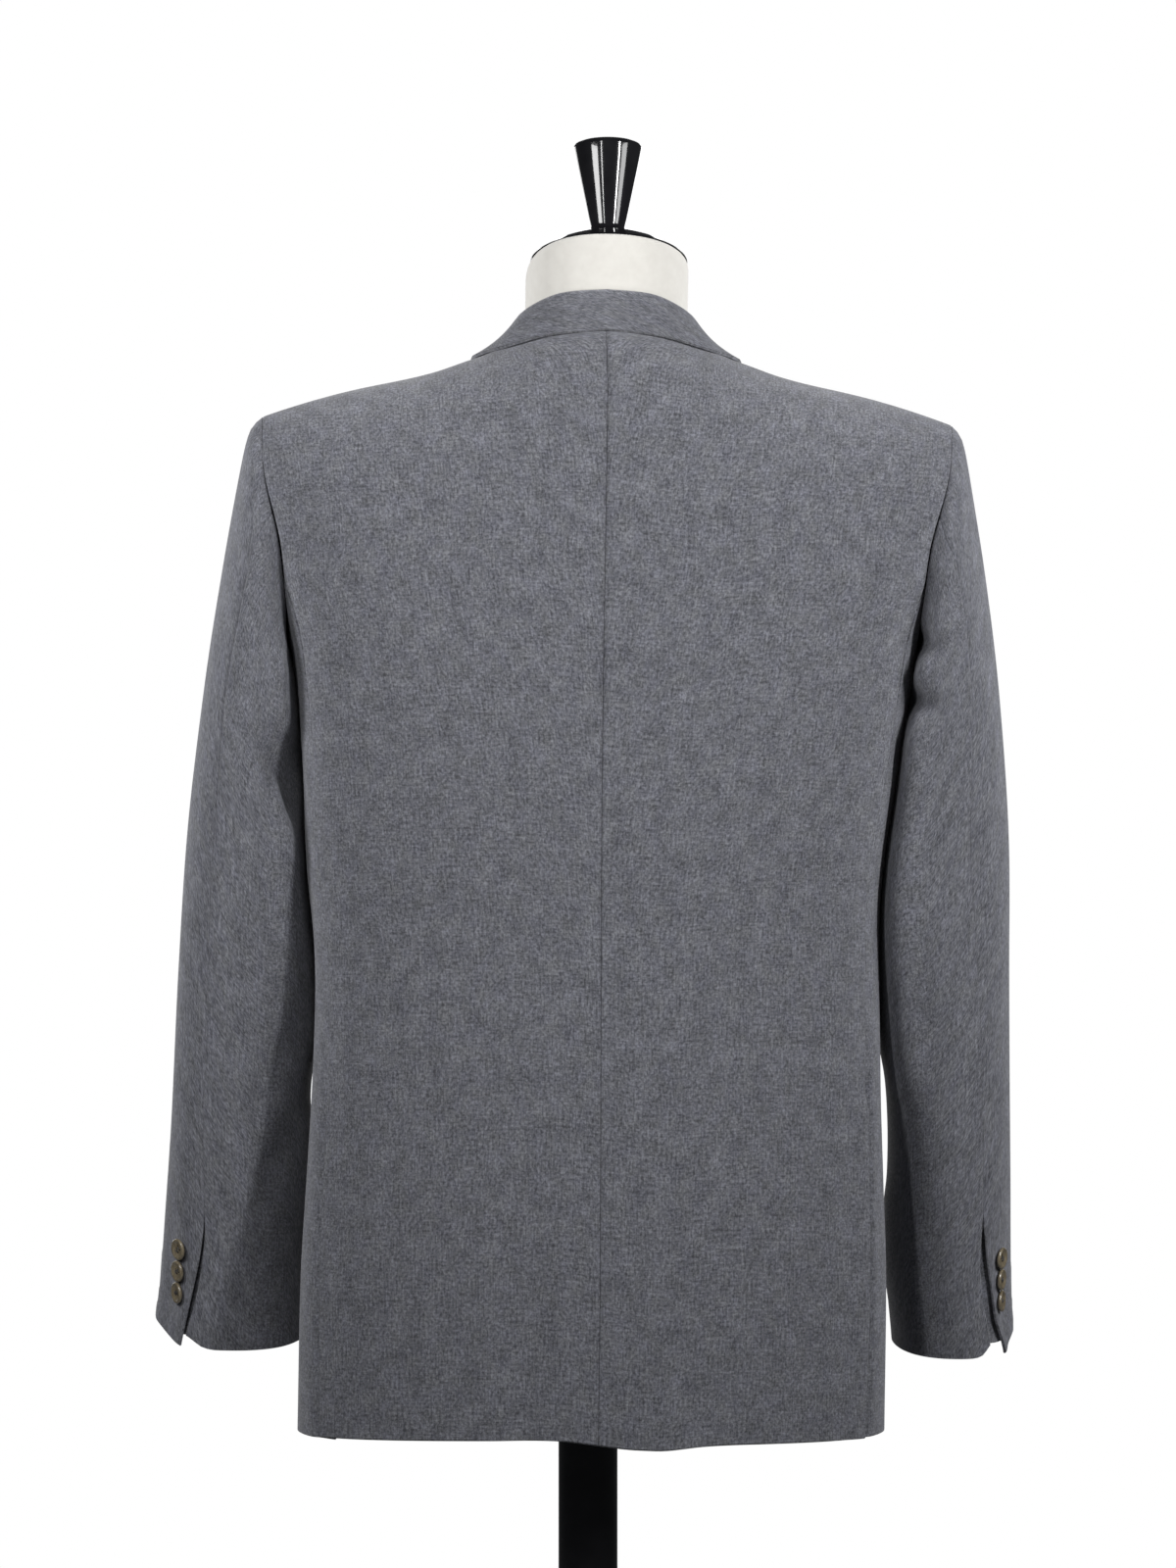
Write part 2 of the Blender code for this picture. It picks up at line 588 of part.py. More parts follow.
def collar():
    """The collar: a stand that rises to the fold, and a fall that comes down outside."""
    rows = [collar_lines(row) for row in COLLAR]
    half = []
    for step in range(19):
        t = step / 18 * (len(rows) - 1)
        foot, fold, edge = (smooth_point([row[i] for row in rows], t) for i in range(3))
        down_in = (foot - fold).normalized()
        down_out = (edge - fold).normalized()
        inward = (down_in + down_out).normalized()
        apart = (down_out - down_in).normalized()
        stand = fold + inward * 0.0034 - apart * 0.0018
        fall = fold + inward * 0.0034 + apart * 0.0018
        line = [foot, foot.lerp(stand, 0.5), stand]
        line += [fold + inward * 0.0009 + apart * 0.0013 * k for k in (-1, 1)]
        line.append(fall)
        bow = 0.0008 - 0.0032 * math.exp(-((t - 3.3) / 1.1) ** 2)
        for part in (0.3, 0.65, 1.0):
            line.append(fall.lerp(edge, part) + apart * bow * math.sin(math.pi * part))
        half.append(line)
    other = [[Vector((-p.x, p.y, p.z)) for p in line] for line in half[:0:-1]]
    middles = other + half
    return cloth("collar", middles, grid_normals(middles, 1.0), 1)


def smooth_point(points, t):
    """A point on a smooth curve through the points, counted by t."""
    k = min(int(t), len(points) - 2)
    return Vector([hermite([(i, p[axis]) for i, p in enumerate(points)], k, t)
                   for axis in range(3)])


# ------------------------------------------------------------------------ sleeves
def armhole_loop():
    """The armhole's seam line, from the shoulder down the back and up the front."""
    rolls = (90.0, 83.0, 75.0, 65.0, 54.0, 42.0, 31.5, 23.0)
    back = [body(0.5 - armhole_half(1 + r / 90, "back"), 1 + r / 90) for r in rolls]
    front = [body(0.5 + armhole_half(1 + r / 90, "front"), 1 + r / 90) for r in rolls]
    low, high = 0.5 - armhole_half(1 + 23 / 90, "back"), 0.5 + armhole_half(1 + 23 / 90, "front")
    under = [body(turn, armhole_level(turn)) for turn in spread(low, high, 14)[1:-1]]
    return back + under + front[:0:-1] + [back[0]]


def along_loop(loop, part):
    """A point at a part of the way round a loop, measured along it."""
    lengths = [(b - a).length for a, b in zip(loop, loop[1:])]
    place = (part % 1.0) * sum(lengths)
    for k, length in enumerate(lengths):
        if place <= length:
            return loop[k].lerp(loop[k + 1], place / length)
        place -= length
    return loop[-1]


def arm_ring(row, turn):
    """A point round a sleeve ring: 0 at the outer end, a quarter turn at the back."""
    outer = Vector((row.outer_x, 0.0, row.outer_z))
    inner = Vector((row.inner_x, 0.0, row.inner_z))
    angle = 2 * math.pi * turn
    across = power(math.cos(angle), 0.92)
    deep = power(math.sin(angle), 0.92) * row.half_depth
    point = (outer + inner) / 2 + (outer - inner) / 2 * across
    drop = CUFF_SLANT * deep if row.outer_z < 1.0 else 0.0
    wrap = ARM_WRAP * (1 - across) / 2 * (1 - ease(ARM_WRAP_FROM[1], ARM_WRAP_FROM[0],
                                                   row.outer_z))
    return point + Vector((0.0, row.middle_y + deep - wrap, -drop))


def ring_middle(row):
    """The middle of a sleeve ring."""
    return Vector(((row.outer_x + row.inner_x) / 2, row.middle_y,
                   (row.outer_z + row.inner_z) / 2))


def sleeve_point(side_name, loop, turn, t):
    """A point of a sleeve: t counts the rings from the armhole down."""
    arm = ARMS[side_name]
    under = (1 - math.cos(2 * math.pi * turn)) / 2
    start = along_loop(loop, turn) + Vector((0.0010 + 0.0014 * under, 0, 0))
    place = smooth_point([start] + [arm_ring(row, turn) for row in arm[1:]], t)
    k = min(int(t), len(arm) - 2)
    middle = ring_middle(arm[k]).lerp(ring_middle(arm[k + 1]), t - k)
    hollow = 0.0
    for row in HOLLOWS[side_name]:
        near = ((t - row.ring) / row.along) ** 2 + ((turn % 1.0 - row.turn) / row.round) ** 2
        hollow += row.depth * math.exp(-near)
    return place + (middle - place).normalized() * hollow


def sleeve_frame(side_name, loop, turn, t):
    """A point of a sleeve and the direction out of the sleeve there."""
    last = len(ARMS[side_name]) - 1
    down = (sleeve_point(side_name, loop, turn, min(t + 0.05, last))
            - sleeve_point(side_name, loop, turn, max(t - 0.05, 0.0)))
    round_it = (sleeve_point(side_name, loop, turn + 0.01, t)
                - sleeve_point(side_name, loop, turn - 0.01, t))
    return sleeve_point(side_name, loop, turn, t), down.cross(round_it).normalized()


def sleeve(side_name, side):
    """A two-piece sleeve: the top sleeve outside, the under sleeve beside the body."""
    arm = ARMS[side_name]
    loop = armhole_loop()
    stations = [0.0, 0.5, 1.0, 1.5] + [2 + i * 0.5 for i in range(15)]
    grids = {"top_sleeve_": [], "under_sleeve_": []}
    for t in stations:
        k = min(int(t), len(arm) - 2)
        back, front = (hermite([(i, getattr(row, name)) for i, row in enumerate(arm)], k, t)
                       for name in ("back_seam", "front_seam"))
        for piece, (start, end) in zip(grids, ((front - 1, back), (back, front))):
            turns = spread(start + LINE_GAP, end - LINE_GAP, 10)
            grids[piece].append([sleeve_frame(side_name, loop, turn, t) for turn in turns])
    for piece, grid in grids.items():
        middles = [[point for point, out in line] for line in grid]
        normals = [[out for point, out in line] for line in grid]
        cloth(piece + side_name, middles, normals, side)


# ------------------------------------------------------------------------ buttons
def turned(name, profile, steps):
    """A solid turned round Z from a profile of (radius, height), top to bottom."""
    mesh = bpy.data.meshes.new(name)
    form = bmesh.new()
    points = [form.verts.new((radius, 0.0, height)) for radius, height in profile]
    for a, b in zip(points, points[1:]):
        form.edges.new((a, b))
    form.to_mesh(mesh)
    form.free()
    made = bpy.data.objects.new(name, mesh)
    jacket.objects.link(made)
    screw = made.modifiers.new("turn", "SCREW")
    screw.steps = steps
    screw.render_steps = steps
    screw.use_merge_vertices = True
    screw.merge_threshold = 0.00001
    return made


def button_mesh(diameter):
    """A dished button with a raised rim and four thread holes."""
    r = diameter / 2
    profile = ((0.0, 0.0019), (0.64 * r, 0.0019), (0.76 * r, 0.0027), (0.94 * r, 0.0026),
               (r, 0.0013), (0.86 * r, 0.0003), (0.0, 0.0003))
    made = turned("button_pattern", profile, 14)
    cutter = bpy.data.meshes.new("thread_holes")
    form = bmesh.new()
    for k in range(4):
        at = Matrix.Rotation(math.radians(45 + 90 * k), 4, "Z") @ Matrix.Translation(
            (0.21 * r, 0.0, 0.0015))
        bmesh.ops.create_cone(form, cap_ends=True, segments=5, radius1=0.085 * r,
                              radius2=0.085 * r, depth=0.006, matrix=at)
    form.to_mesh(cutter)
    form.free()
    holes = bpy.data.objects.new("thread_holes", cutter)
    guides.objects.link(holes)
    holes.hide_render = True
    holes.display_type = "WIRE"
    cut = made.modifiers.new("holes", "BOOLEAN")
    cut.operation = "DIFFERENCE"
    cut.object = holes
    bpy.context.view_layer.update()
    seen = made.evaluated_get(bpy.context.evaluated_depsgraph_get())
    mesh = bpy.data.meshes.new_from_object(seen)
    bpy.data.objects.remove(made)
    bpy.data.objects.remove(holes)
    return mesh


def set_button(name, mesh, point, normal, side):
    """Lays a button on the cloth, its back just clear of it."""
    at = lean(point, side)
    tip = lean(point + normal * 0.01, side)
    made = add_object(name, mesh, "horn", 0.35, 30.0)
    made.matrix_world = (Matrix.Translation(at)
                         @ (tip - at).to_track_quat("Z", "Y").to_matrix().to_4x4())
    return made


def front_buttons(mesh):
    """Two rows of three down the left front; the top pair stands wider apart."""
    middle = BREAK - 0.012
    rows = (("lower", middle - FRONT_PITCH, BUTTON_X), ("middle", middle, BUTTON_X),
            ("upper", middle + FRONT_PITCH, BUTTON_X_TOP))
    for row, z, x in rows:
        for column, place in (("left", x), ("right", -x)):
            own = 1 if row == "upper" and column == "right" else -1
            side = -1 if own == 1 else 1
            under = "right" if side == -1 else "left"
            x_own = place * side
            turn, level = find(x_own, z, "front")
            point = laid(turn, level, layer(under, x_own, z) + WALL / 2 + BUTTON_CLEAR)
            set_button("front_button_" + row + "_" + column, mesh, point,
                       outward(turn, level), side)


def cuff_buttons(mesh, side_name, side):
    """Three buttons up from the hem, on the top sleeve beside its vent."""
    arm = ARMS[side_name]
    loop = armhole_loop()
    turn = CUFF_BUTTON_TURN[side_name]
    for k in range(3):
        height = arm[-1].outer_z + CUFF_BUTTON_UP + CUFF_PITCH * k
        low, high = len(arm) - 3.0, len(arm) - 1.0
        for _ in range(20):
            t = (low + high) / 2
            if sleeve_point(side_name, loop, turn, t).z > height:
                low = t
            else:
                high = t
        point, normal = sleeve_frame(side_name, loop, turn, t)
        set_button(f"cuff_button_{side_name}_{k + 1}", mesh,
                   point + normal * (WALL / 2 + BUTTON_CLEAR), normal, side)


# ---------------------------------------------------------------------- dress form
def form_torso():
    """The torso and neck: level rings, a flat underside and a slanting flat top."""
    form = bmesh.new()
    heights = sorted({row.height for row in TORSO}
                     | {(a.height + b.height) / 2 for a, b in zip(TORSO[:6], TORSO[1:7])})
    rings = []
    for z in heights + ["top"]:
        row_z = TORSO[-1].height if z == "top" else z
        width, front, back, middle = (read(TORSO, "height", name, row_z)
                                      for name in ("half_width", "front", "back", "middle"))
        ring = []
        for k in range(TORSO_SIDES):
            angle = 2 * math.pi * k / TORSO_SIDES
            x = width * power(math.sin(angle), 0.92)
            y = (back if math.cos(angle) > 0 else front) * power(math.cos(angle), 0.92)
            height = row_z
            if z == "top":
                height = NECK_TOP + math.tan(NECK_SLANT) * y
            ring.append(form.verts.new(lean(Vector((x, y + middle, height)), 1)))
        rings.append(ring)
    for low, high in zip(rings, rings[1:]):
        for k in range(TORSO_SIDES):
            n = (k + 1) % TORSO_SIDES
            form.faces.new((low[k], high[k], high[n], low[n]))
    form.faces.new(rings[0])
    form.faces.new(rings[-1][::-1])
    bmesh.ops.recalc_face_normals(form, faces=form.faces)
    mesh = bpy.data.meshes.new("form_torso")
    form.to_mesh(mesh)
    form.free()
    return add_object("form_torso", mesh, "cover", 0.8)


def form_hardware():
    """The neck cap, finial, pole and base plate, all turned."""
    neck = TORSO[-1]
    middle = Vector((0.0, neck.middle, NECK_TOP))
    top = lean(middle, 1)
    sideways = lean(middle + Vector((0.01, 0, 0)), 1) - top
    backward = lean(middle + Vector((0, 0.01, 0.01 * math.tan(NECK_SLANT))), 1) - top
    up = sideways.cross(backward).normalized()
    tilt = up.to_track_quat("Z", "Y").to_matrix().to_4x4()
    r = neck.half_width
    cap = turned("form_neck_cap", ((0.0, 0.0205), (0.35 * r, 0.0185), (0.70 * r, 0.0120),
                                   (0.95 * r, 0.0028), (r, 0.0016), (r, 0.0),
                                   (0.0, 0.0)), 48)
    cap.matrix_world = Matrix.Translation(top + tilt @ Vector((0, 0, SEAM_GAP))) @ tilt
    foot = top + tilt @ Vector((0, 0, 0.0205 + 2 * SEAM_GAP + 0.0012))
    finial = turned("form_finial", ((0.0, 0.0652), (0.0140, 0.0648), (0.0226, 0.0632),
                                    (0.0236, 0.0606), (0.0118, 0.0060), (0.0125, 0.0020),
                                    (0.0150, 0.0), (0.0, 0.0)), 40)
    finial.matrix_world = Matrix.Translation(foot) @ Matrix.Rotation(FINIAL_TILT, 4, "X")
    lift = FORM_FOOT - SEAM_GAP
    low = BASE_THICK + SEAM_GAP
    pole = turned("form_pole", ((0.0, lift), (POLE / 2, lift), (POLE / 2, low + 0.030),
                                (POLE / 2 + 0.020, low + 0.012), (POLE / 2 + 0.020, low),
                                (0.0, low)), 40)
    edge = 0.003
    base = turned("form_base", ((0.0, BASE_THICK), (BASE / 2 - edge, BASE_THICK),
                                (BASE / 2, BASE_THICK - edge), (BASE / 2, 0.0),
                                (0.0, 0.0)), 64)
    for made in (cap, finial, pole, base):
        made.data.materials.append(material("black", 0.25))


# --------------------------------------------------------------------- build it all
for old in list(bpy.data.objects):
    bpy.data.objects.remove(old)
jacket = bpy.data.collections.new("double_breasted_jacket")
guides = bpy.data.collections.new("cutters")
bpy.context.scene.collection.children.link(jacket)
bpy.context.scene.collection.children.link(guides)

for side_name, side in (("left", 1), ("right", -1)):
    back_panel(side_name, side)
    side_panel(side_name, side)
    front_panel(side_name, side)
    lapel(side_name, side)
    sleeve(side_name, side)
collar()
front_buttons(button_mesh(BUTTON_FRONT))
cuff_pattern = button_mesh(BUTTON_CUFF)
for side_name, side in (("left", 1), ("right", -1)):
    cuff_buttons(cuff_pattern, side_name, side)
form_torso()
form_hardware()
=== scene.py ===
"""A double-breasted jacket of grey wool flannel, seen from behind on a limbless dress form."""
import math

import bpy
import numpy as np
from mathutils import Matrix, Vector


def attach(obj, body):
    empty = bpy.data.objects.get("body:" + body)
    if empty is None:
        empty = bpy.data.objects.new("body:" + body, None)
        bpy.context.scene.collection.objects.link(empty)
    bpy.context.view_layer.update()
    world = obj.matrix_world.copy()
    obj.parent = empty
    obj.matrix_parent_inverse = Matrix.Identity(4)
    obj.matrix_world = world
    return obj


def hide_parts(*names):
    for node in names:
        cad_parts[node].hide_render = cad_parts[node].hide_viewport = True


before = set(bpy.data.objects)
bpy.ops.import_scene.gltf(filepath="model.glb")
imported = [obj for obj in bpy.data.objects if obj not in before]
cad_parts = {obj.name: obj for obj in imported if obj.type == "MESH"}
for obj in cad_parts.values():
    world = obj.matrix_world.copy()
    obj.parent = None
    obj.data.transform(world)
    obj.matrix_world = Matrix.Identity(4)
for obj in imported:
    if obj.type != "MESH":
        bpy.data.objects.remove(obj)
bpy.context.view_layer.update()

# ---------------- the jacket's pattern
# A tailor's pattern of the whole jacket. A point on it has a turn (0 centre back, 0.5 at
# the side, 1 centre front) and a level (0 hem, 1 bottom of the armhole, 2 on the ridge of
# the shoulder). It is drawn for the wearer's left, and the right is its mirror.
SIDES = {"left": 1, "right": -1}
HEM, ARMHOLE = 0.757, 1.288   # heights of the hem and of the armhole's bottom
WALL = 0.002   # the flannel with its backing
VENT_TOP, BREAK = 0.995, 1.095   # where the side vents end and where the lapels break
OVERLAP, ROLL_NECK = 0.075, 0.066   # across: the fronts' edge, and the roll line on the ridge
YOKE_ROUND = 2.5   # how square the shoulders are, front to back
SHOULDER_HEIGHT, SHOULDER_FALL = 1.4794, 0.24   # of the ridge at mid shoulder
MID_SHOULDER = 0.122
ASIDE, LEAN = 0.002, 0.016   # how far it hangs to one side, and leans for each metre up
TILT = 0.013 / 0.7   # how much its left hangs higher, for each metre across and up
ARMHOLE_HALF = (0.15, 0.163)   # turns from its middle to its edge, behind and in front
ARMHOLE_RISE = 0.35   # levels over which it widens


def curve(keys, values):
    """A smooth curve through a table's rows, read at any key."""
    keys, values = np.array(keys, float), np.array(values, float)
    slopes = np.empty_like(values)
    spans = (keys[2:] - keys[:-2]).reshape((-1,) + (1,) * (values.ndim - 1))
    slopes[1:-1] = (values[2:] - values[:-2]) / spans
    slopes[0] = (values[1] - values[0]) / (keys[1] - keys[0])
    slopes[-1] = (values[-1] - values[-2]) / (keys[-1] - keys[-2])

    def at(x):
        x = np.clip(np.asarray(x, float), keys[0], keys[-1])
        k = np.clip(np.searchsorted(keys, x, side="right") - 1, 0, len(keys) - 2)
        span = keys[k + 1] - keys[k]
        t = (x - keys[k]) / span
        shape = t.shape + (1,) * (values.ndim - 1)
        t, span = t.reshape(shape), np.asarray(span).reshape(shape)
        start = (1 + 2 * t) * (1 - t) ** 2 * values[k] + t * (1 - t) ** 2 * span * slopes[k]
        return start + t * t * (3 - 2 * t) * values[k + 1] + t * t * (t - 1) * span * slopes[k + 1]
    return at


def curve_mm(keys, millimetres):
    return curve(keys, np.array(millimetres) / 1000)


RINGS = np.array((   # height, half width, front, back, squareness, back seam, front seam
    (0.757, 0.2005, 0.13, 0.124, 2.3, 0.355, 0.622),
    (0.863, 0.2, 0.129, 0.123, 2.3, 0.365, 0.622),
    (0.93, 0.197, 0.127, 0.119, 2.3, 0.371, 0.622),
    (1.0, 0.194, 0.124, 0.113, 2.32, 0.377, 0.62),
    (1.09, 0.193, 0.12, 0.106, 2.36, 0.382, 0.618),
    (1.16, 0.1985, 0.122, 0.109, 2.5, 0.384, 0.618),
    (1.236, 0.206, 0.127, 0.114, 2.75, 0.384, 0.62),
    (1.288, 0.2125, 0.13, 0.118, 3.0, 0.38, 0.625)))
YOKE = np.array((    # roll in degrees, half width, front, back
    (0.0, 0.2125, 0.13, 0.118), (6.0, 0.22, 0.13, 0.119), (12.0, 0.2268, 0.131, 0.121),
    (20.0, 0.234, 0.131, 0.124), (31.5, 0.2435, 0.13, 0.127), (45.0, 0.25, 0.128, 0.13),
    (66.0, 0.2529, 0.124, 0.132), (90.0, 0.2543, 0.122, 0.132)))
ring_at = [curve(RINGS[:, 0], column) for column in RINGS.T[1:]]
yoke_at = [curve(YOKE[:, 0], column) for column in YOKE.T[1:]]


def ease(low, high, at):
    """From 0 at low to 1 at high, starting and ending softly."""
    t = np.clip((np.asarray(at, float) - low) / (high - low), 0, 1)
    return t * t * (3 - 2 * t)


def hump(at, middle, reach):
    """1 at the middle, falling away softly to both sides."""
    return np.exp(-((at - middle) / reach) ** 2)


def power(value, exponent):
    """A power that keeps the sign."""
    return np.sign(value) * np.abs(value) ** exponent


def ridge(x):
    """Height of the shoulder ridge at a distance from the centre line."""
    x = np.abs(x)
    neck_rise = 0.022 * np.clip(1 - (x / 0.12) ** 2, 0, None) ** 3
    neck_rise += 0.001 * hump(x, 0.098, 0.014) - 0.001 * hump(x, 0.132, 0.026)
    return (SHOULDER_HEIGHT - SHOULDER_FALL * (x - MID_SHOULDER)
            - 0.9 * np.clip(x - 0.17, 0, None) ** 2 + neck_rise)


def height_of(level):
    return HEM + (ARMHOLE - HEM) * level


def level_of(height):
    return (height - HEM) / (ARMHOLE - HEM)


def girth(z, roll):
    """Half width, front, back and squareness of the ring at a height, or a roll above."""
    sizes = [np.where(roll > 0, yoke_at[k](roll), ring_at[k](z)) for k in range(3)]
    return *sizes, np.where(roll > 0, RINGS[-1, 4], ring_at[3](z))


def body(turn, level):
    """Points of the jacket's surface."""
    turn, level = np.broadcast_arrays(np.asarray(turn, float), np.asarray(level, float))
    across, along = np.sin(np.pi * turn), np.cos(np.pi * turn)
    z, roll = height_of(np.clip(level, None, 1)), 90 * (np.clip(level, 1, 2) - 1)
    width, front, back, square = girth(z, roll)
    x, depth = width * power(across, 2 / square), np.where(along > 0, back, front)
    angle = np.radians(roll)
    closing = np.where(roll > 0, np.clip(np.cos(angle), 0, None) ** (2 / YOKE_ROUND), 1)
    rising = np.sin(angle) ** (2 / YOKE_ROUND)
    up = np.where(roll > 0, ARMHOLE + (ridge(x) - ARMHOLE) * rising, z)
    return np.stack((x, depth * closing * power(along, 2 / square), up), -1)


def unit(v):
    return v / np.maximum(np.linalg.norm(v, axis=-1, keepdims=True), 1e-12)


def outward(turn, level):
    """The direction out of the jacket."""
    turn, level = np.broadcast_arrays(np.asarray(turn, float), np.asarray(level, float))
    low, high = np.clip(level - 0.004, 0, None), np.clip(level + 0.004, None, 2)
    crosses = (high > 1) & (low < 1)
    low = np.where(crosses & (level > 1), 1, low)
    high = np.where(crosses & (level <= 1), 1, high)
    round_it = body(turn + 0.004, level) - body(turn - 0.004, level)
    return unit(np.cross(body(turn, high) - body(turn, low), round_it))


def laid(turn, level, out=0.0):
    """Points moved out from the surface."""
    return body(turn, level) + outward(turn, level) * np.asarray(out, float)[..., None]


def find(x, z, facing):
    """Turn and level of the points at x across and z up, on the back or the front."""
    x, z = np.broadcast_arrays(np.asarray(x, float), np.asarray(z, float))
    rising = np.clip((z - ARMHOLE) / (ridge(x) - ARMHOLE), 0, 1)
    roll = np.degrees(np.arcsin(rising ** (YOKE_ROUND / 2)))
    width, _, _, square = girth(z, roll)
    part = np.clip(np.abs(x) / width, 0, 1) ** (square / 2)
    turn = np.copysign(np.arcsin(part) / np.pi, x)
    return (turn if facing == "back" else 1 - turn), np.where(roll > 0, 1 + roll / 90,
                                                              level_of(z))


def armhole_half(level, facing):
    """Turns from the side to the armhole's edge, on the back or the front."""
    t = np.clip((np.asarray(level, float) - 1) / ARMHOLE_RISE, 0, 1)
    full = ARMHOLE_HALF[0] if facing == "back" else (
        ARMHOLE_HALF[1] - (ARMHOLE_HALF[1] - ARMHOLE_HALF[0]) * ease(1.7, 2.0, level))
    return full * np.sqrt(1 - (1 - t) ** 2)


def armhole_level(turn):
    """Level of the armhole's lower edge at a turn."""
    part = np.clip(np.abs(turn - 0.5) / np.where(turn < 0.5, *ARMHOLE_HALF), 0, 1)
    return 1 + ARMHOLE_RISE * (1 - np.sqrt(1 - part * part))


def body_seam(level, which):
    """Turn of the side body's back (4) or front (5) seam."""
    return ring_at[which](height_of(np.clip(level, 0, 1)))


def set_in_place(points, side):
    """Mirrors points of the left for the right, and lets the jacket hang as it does."""
    x, y, z = points[..., 0] * side, points[..., 1], points[..., 2]
    lean = LEAN * (z - HEM - 0.1 * ease(1.46, 1.51, z))
    flank = ease(0.06, 0.16, np.abs(x)) * (1 - ease(0.2, 0.235, np.abs(x)))
    sway = 0.0035 * flank * hump(z, 1.14, 0.055)
    return np.stack((x - ASIDE - lean + sway, y, z + TILT * x * (z - HEM)), -1)


# ---------------- the flannel
# Wool flannel, spun from dark and pale fibres mixed before spinning and brushed to a soft
# nap. The flecks run along the cut's grain. Every cloth piece is a thin shell of it.
def set_node(made, **inputs):
    """Sets or links a node's inputs, i0 being the first; _name sets a property instead."""
    for name, value in inputs.items():
        if isinstance(value, bpy.types.Node):
            value = value.outputs[0]
        if name.startswith("_"):
            setattr(made, name[1:], value)
            continue
        socket = made.inputs[int(name[1:]) if name[0] == "i" and name[1:].isdigit()
                             else name.replace("_", " ")]
        if isinstance(value, bpy.types.NodeSocket):
            made.id_data.links.new(value, socket)
        else:
            socket.default_value = value
    return made


def node(tree, kind, **inputs):
    """A new node with its inputs set or linked."""
    return set_node(tree.nodes.new(kind), **inputs)


def tones(tree, factor, *stops):
    """A ramp through colours, each (place, red, green, blue)."""
    made = node(tree, "ShaderNodeValToRGB", Fac=factor)
    ends = made.color_ramp.elements
    ends[0].position, ends[1].position = stops[0][0], stops[-1][0]
    ends[0].color, ends[1].color = (*stops[0][1:], 1), (*stops[-1][1:], 1)
    for place, *colour in stops[1:-1]:
        ends.new(place).color = (*colour, 1)
    return made


def new_material(name):
    """A material with its node tree and its shader."""
    made = bpy.data.materials.new(name)
    made.use_nodes = True
    return made, made.node_tree, made.node_tree.nodes["Principled BSDF"]


def texture(tree, kind, **inputs):
    """A texture that lies in the piece's own coordinates."""
    where = node(tree, "ShaderNodeTexCoord")
    return node(tree, "ShaderNodeTex" + kind, Vector=where.outputs["Object"], **inputs)


def fibre_group():
    """The melange: how pale the mixed fibres are at a point of the cut, how the nap stands
    and how blue they are."""
    tree = bpy.data.node_groups.new("melange", "ShaderNodeTree")
    tree.interface.new_socket("Cut", in_out="INPUT", socket_type="NodeSocketVector")
    for name in ("Paleness", "Nap", "Blueness"):
        tree.interface.new_socket(name, in_out="OUTPUT", socket_type="NodeSocketFloat")
    entry, out = tree.nodes.new("NodeGroupInput"), tree.nodes.new("NodeGroupOutput")

    def flecks(scale, detail, rough, start=0.0):
        size = node(tree, "ShaderNodeVectorMath", _operation="MULTIPLY_ADD",
                    i0=entry.outputs[0], i1=scale, i2=(start, start, 0.0))
        return node(tree, "ShaderNodeTexNoise", Vector=size, Scale=1.0, Detail=detail,
                    Roughness=rough)

    felt = flecks((560.0, 430.0, 1.0), 4.0, 0.78)
    warp = flecks((900.0, 80.0, 1.0), 2.0, 0.6, 7.0)
    weft = flecks((85.0, 780.0, 1.0), 2.0, 0.6, 3.0)
    cloud = flecks((75.0, 60.0, 1.0), 2.0, 0.55, 5.0)

    def mix(a, b, share):
        part = node(tree, "ShaderNodeMath", _operation="SUBTRACT", i0=b, i1=0.5)
        return node(tree, "ShaderNodeMath", _operation="MULTIPLY_ADD", i0=part, i1=share, i2=a)

    set_node(out, Paleness=mix(mix(mix(felt, warp, 0.34), weft, 0.24), cloud, 0.2),
             Nap=mix(mix(felt, warp, 0.5), weft, 0.4),
             Blueness=flecks((95.0, 70.0, 1.0), 3.0, 0.7, 11.0))
    return tree


flannel, tree, shader = new_material("flannel")
cut = node(tree, "ShaderNodeUVMap", _uv_map="cut")
fibres = node(tree, "ShaderNodeGroup", _node_tree=fibre_group(), Cut=cut)
tone = tones(tree, fibres, (0.34, 0.07, 0.0715, 0.0785),
             (0.5, 0.157, 0.1605, 0.1755), (0.7, 0.308, 0.314, 0.338))
blue = node(tree, "ShaderNodeMapRange", Value=fibres.outputs[2], i1=0.35, i2=0.65)
tint = node(tree, "ShaderNodeMix", _data_type="RGBA", _blend_type="MULTIPLY",
            Factor=blue, i6=tone, i7=(0.985, 0.985, 1.06, 1))   # i6 and i7 are its colours
bump = node(tree, "ShaderNodeBump", Strength=0.25, Distance=0.0005, Height=fibres.outputs[1])
set_node(shader, Base_Color=tint.outputs[2], Normal=bump, Roughness=0.95, Diffuse_Roughness=1.0,
         Specular_IOR_Level=0.12, Sheen_Weight=0.2, Sheen_Roughness=0.5)

EDGE = np.array((0.0005, 0.0011, 0.0018, 0.0027, 0.004))   # rows beside an edge
ROW, COLUMN = 0.0044, 0.0042   # the usual distance between rows and between columns


def steps(length, size, near_start=EDGE):
    """Distances along a length, about size apart and closer at its ends."""
    inner = np.linspace(sum(near_start[-1:]), length - EDGE[-1], max(3, int(length / size)))
    return np.unique(np.concatenate(([0.0], near_start, inner, length - EDGE, [length])))


def along_seam(length, size=COLUMN, near_start=EDGE):
    """The same as parts of the length, from 0 to 1."""
    return steps(length, size, near_start) / length


def seam_dip(distance, deep=0.0005, wide=0.002):
    """How far cloth turns in beside a sewn seam."""
    return -deep * (1 - ease(0.0, wide, distance)) ** 1.5


def arc_length(points, axis):
    """Distance along a grid of points, in metres, down one axis of it."""
    gaps = np.linalg.norm(np.diff(points, axis=axis), axis=-1)
    start = np.zeros_like(np.take(gaps, [0], axis=axis))
    return np.concatenate((start, np.cumsum(gaps, axis=axis)), axis=axis)


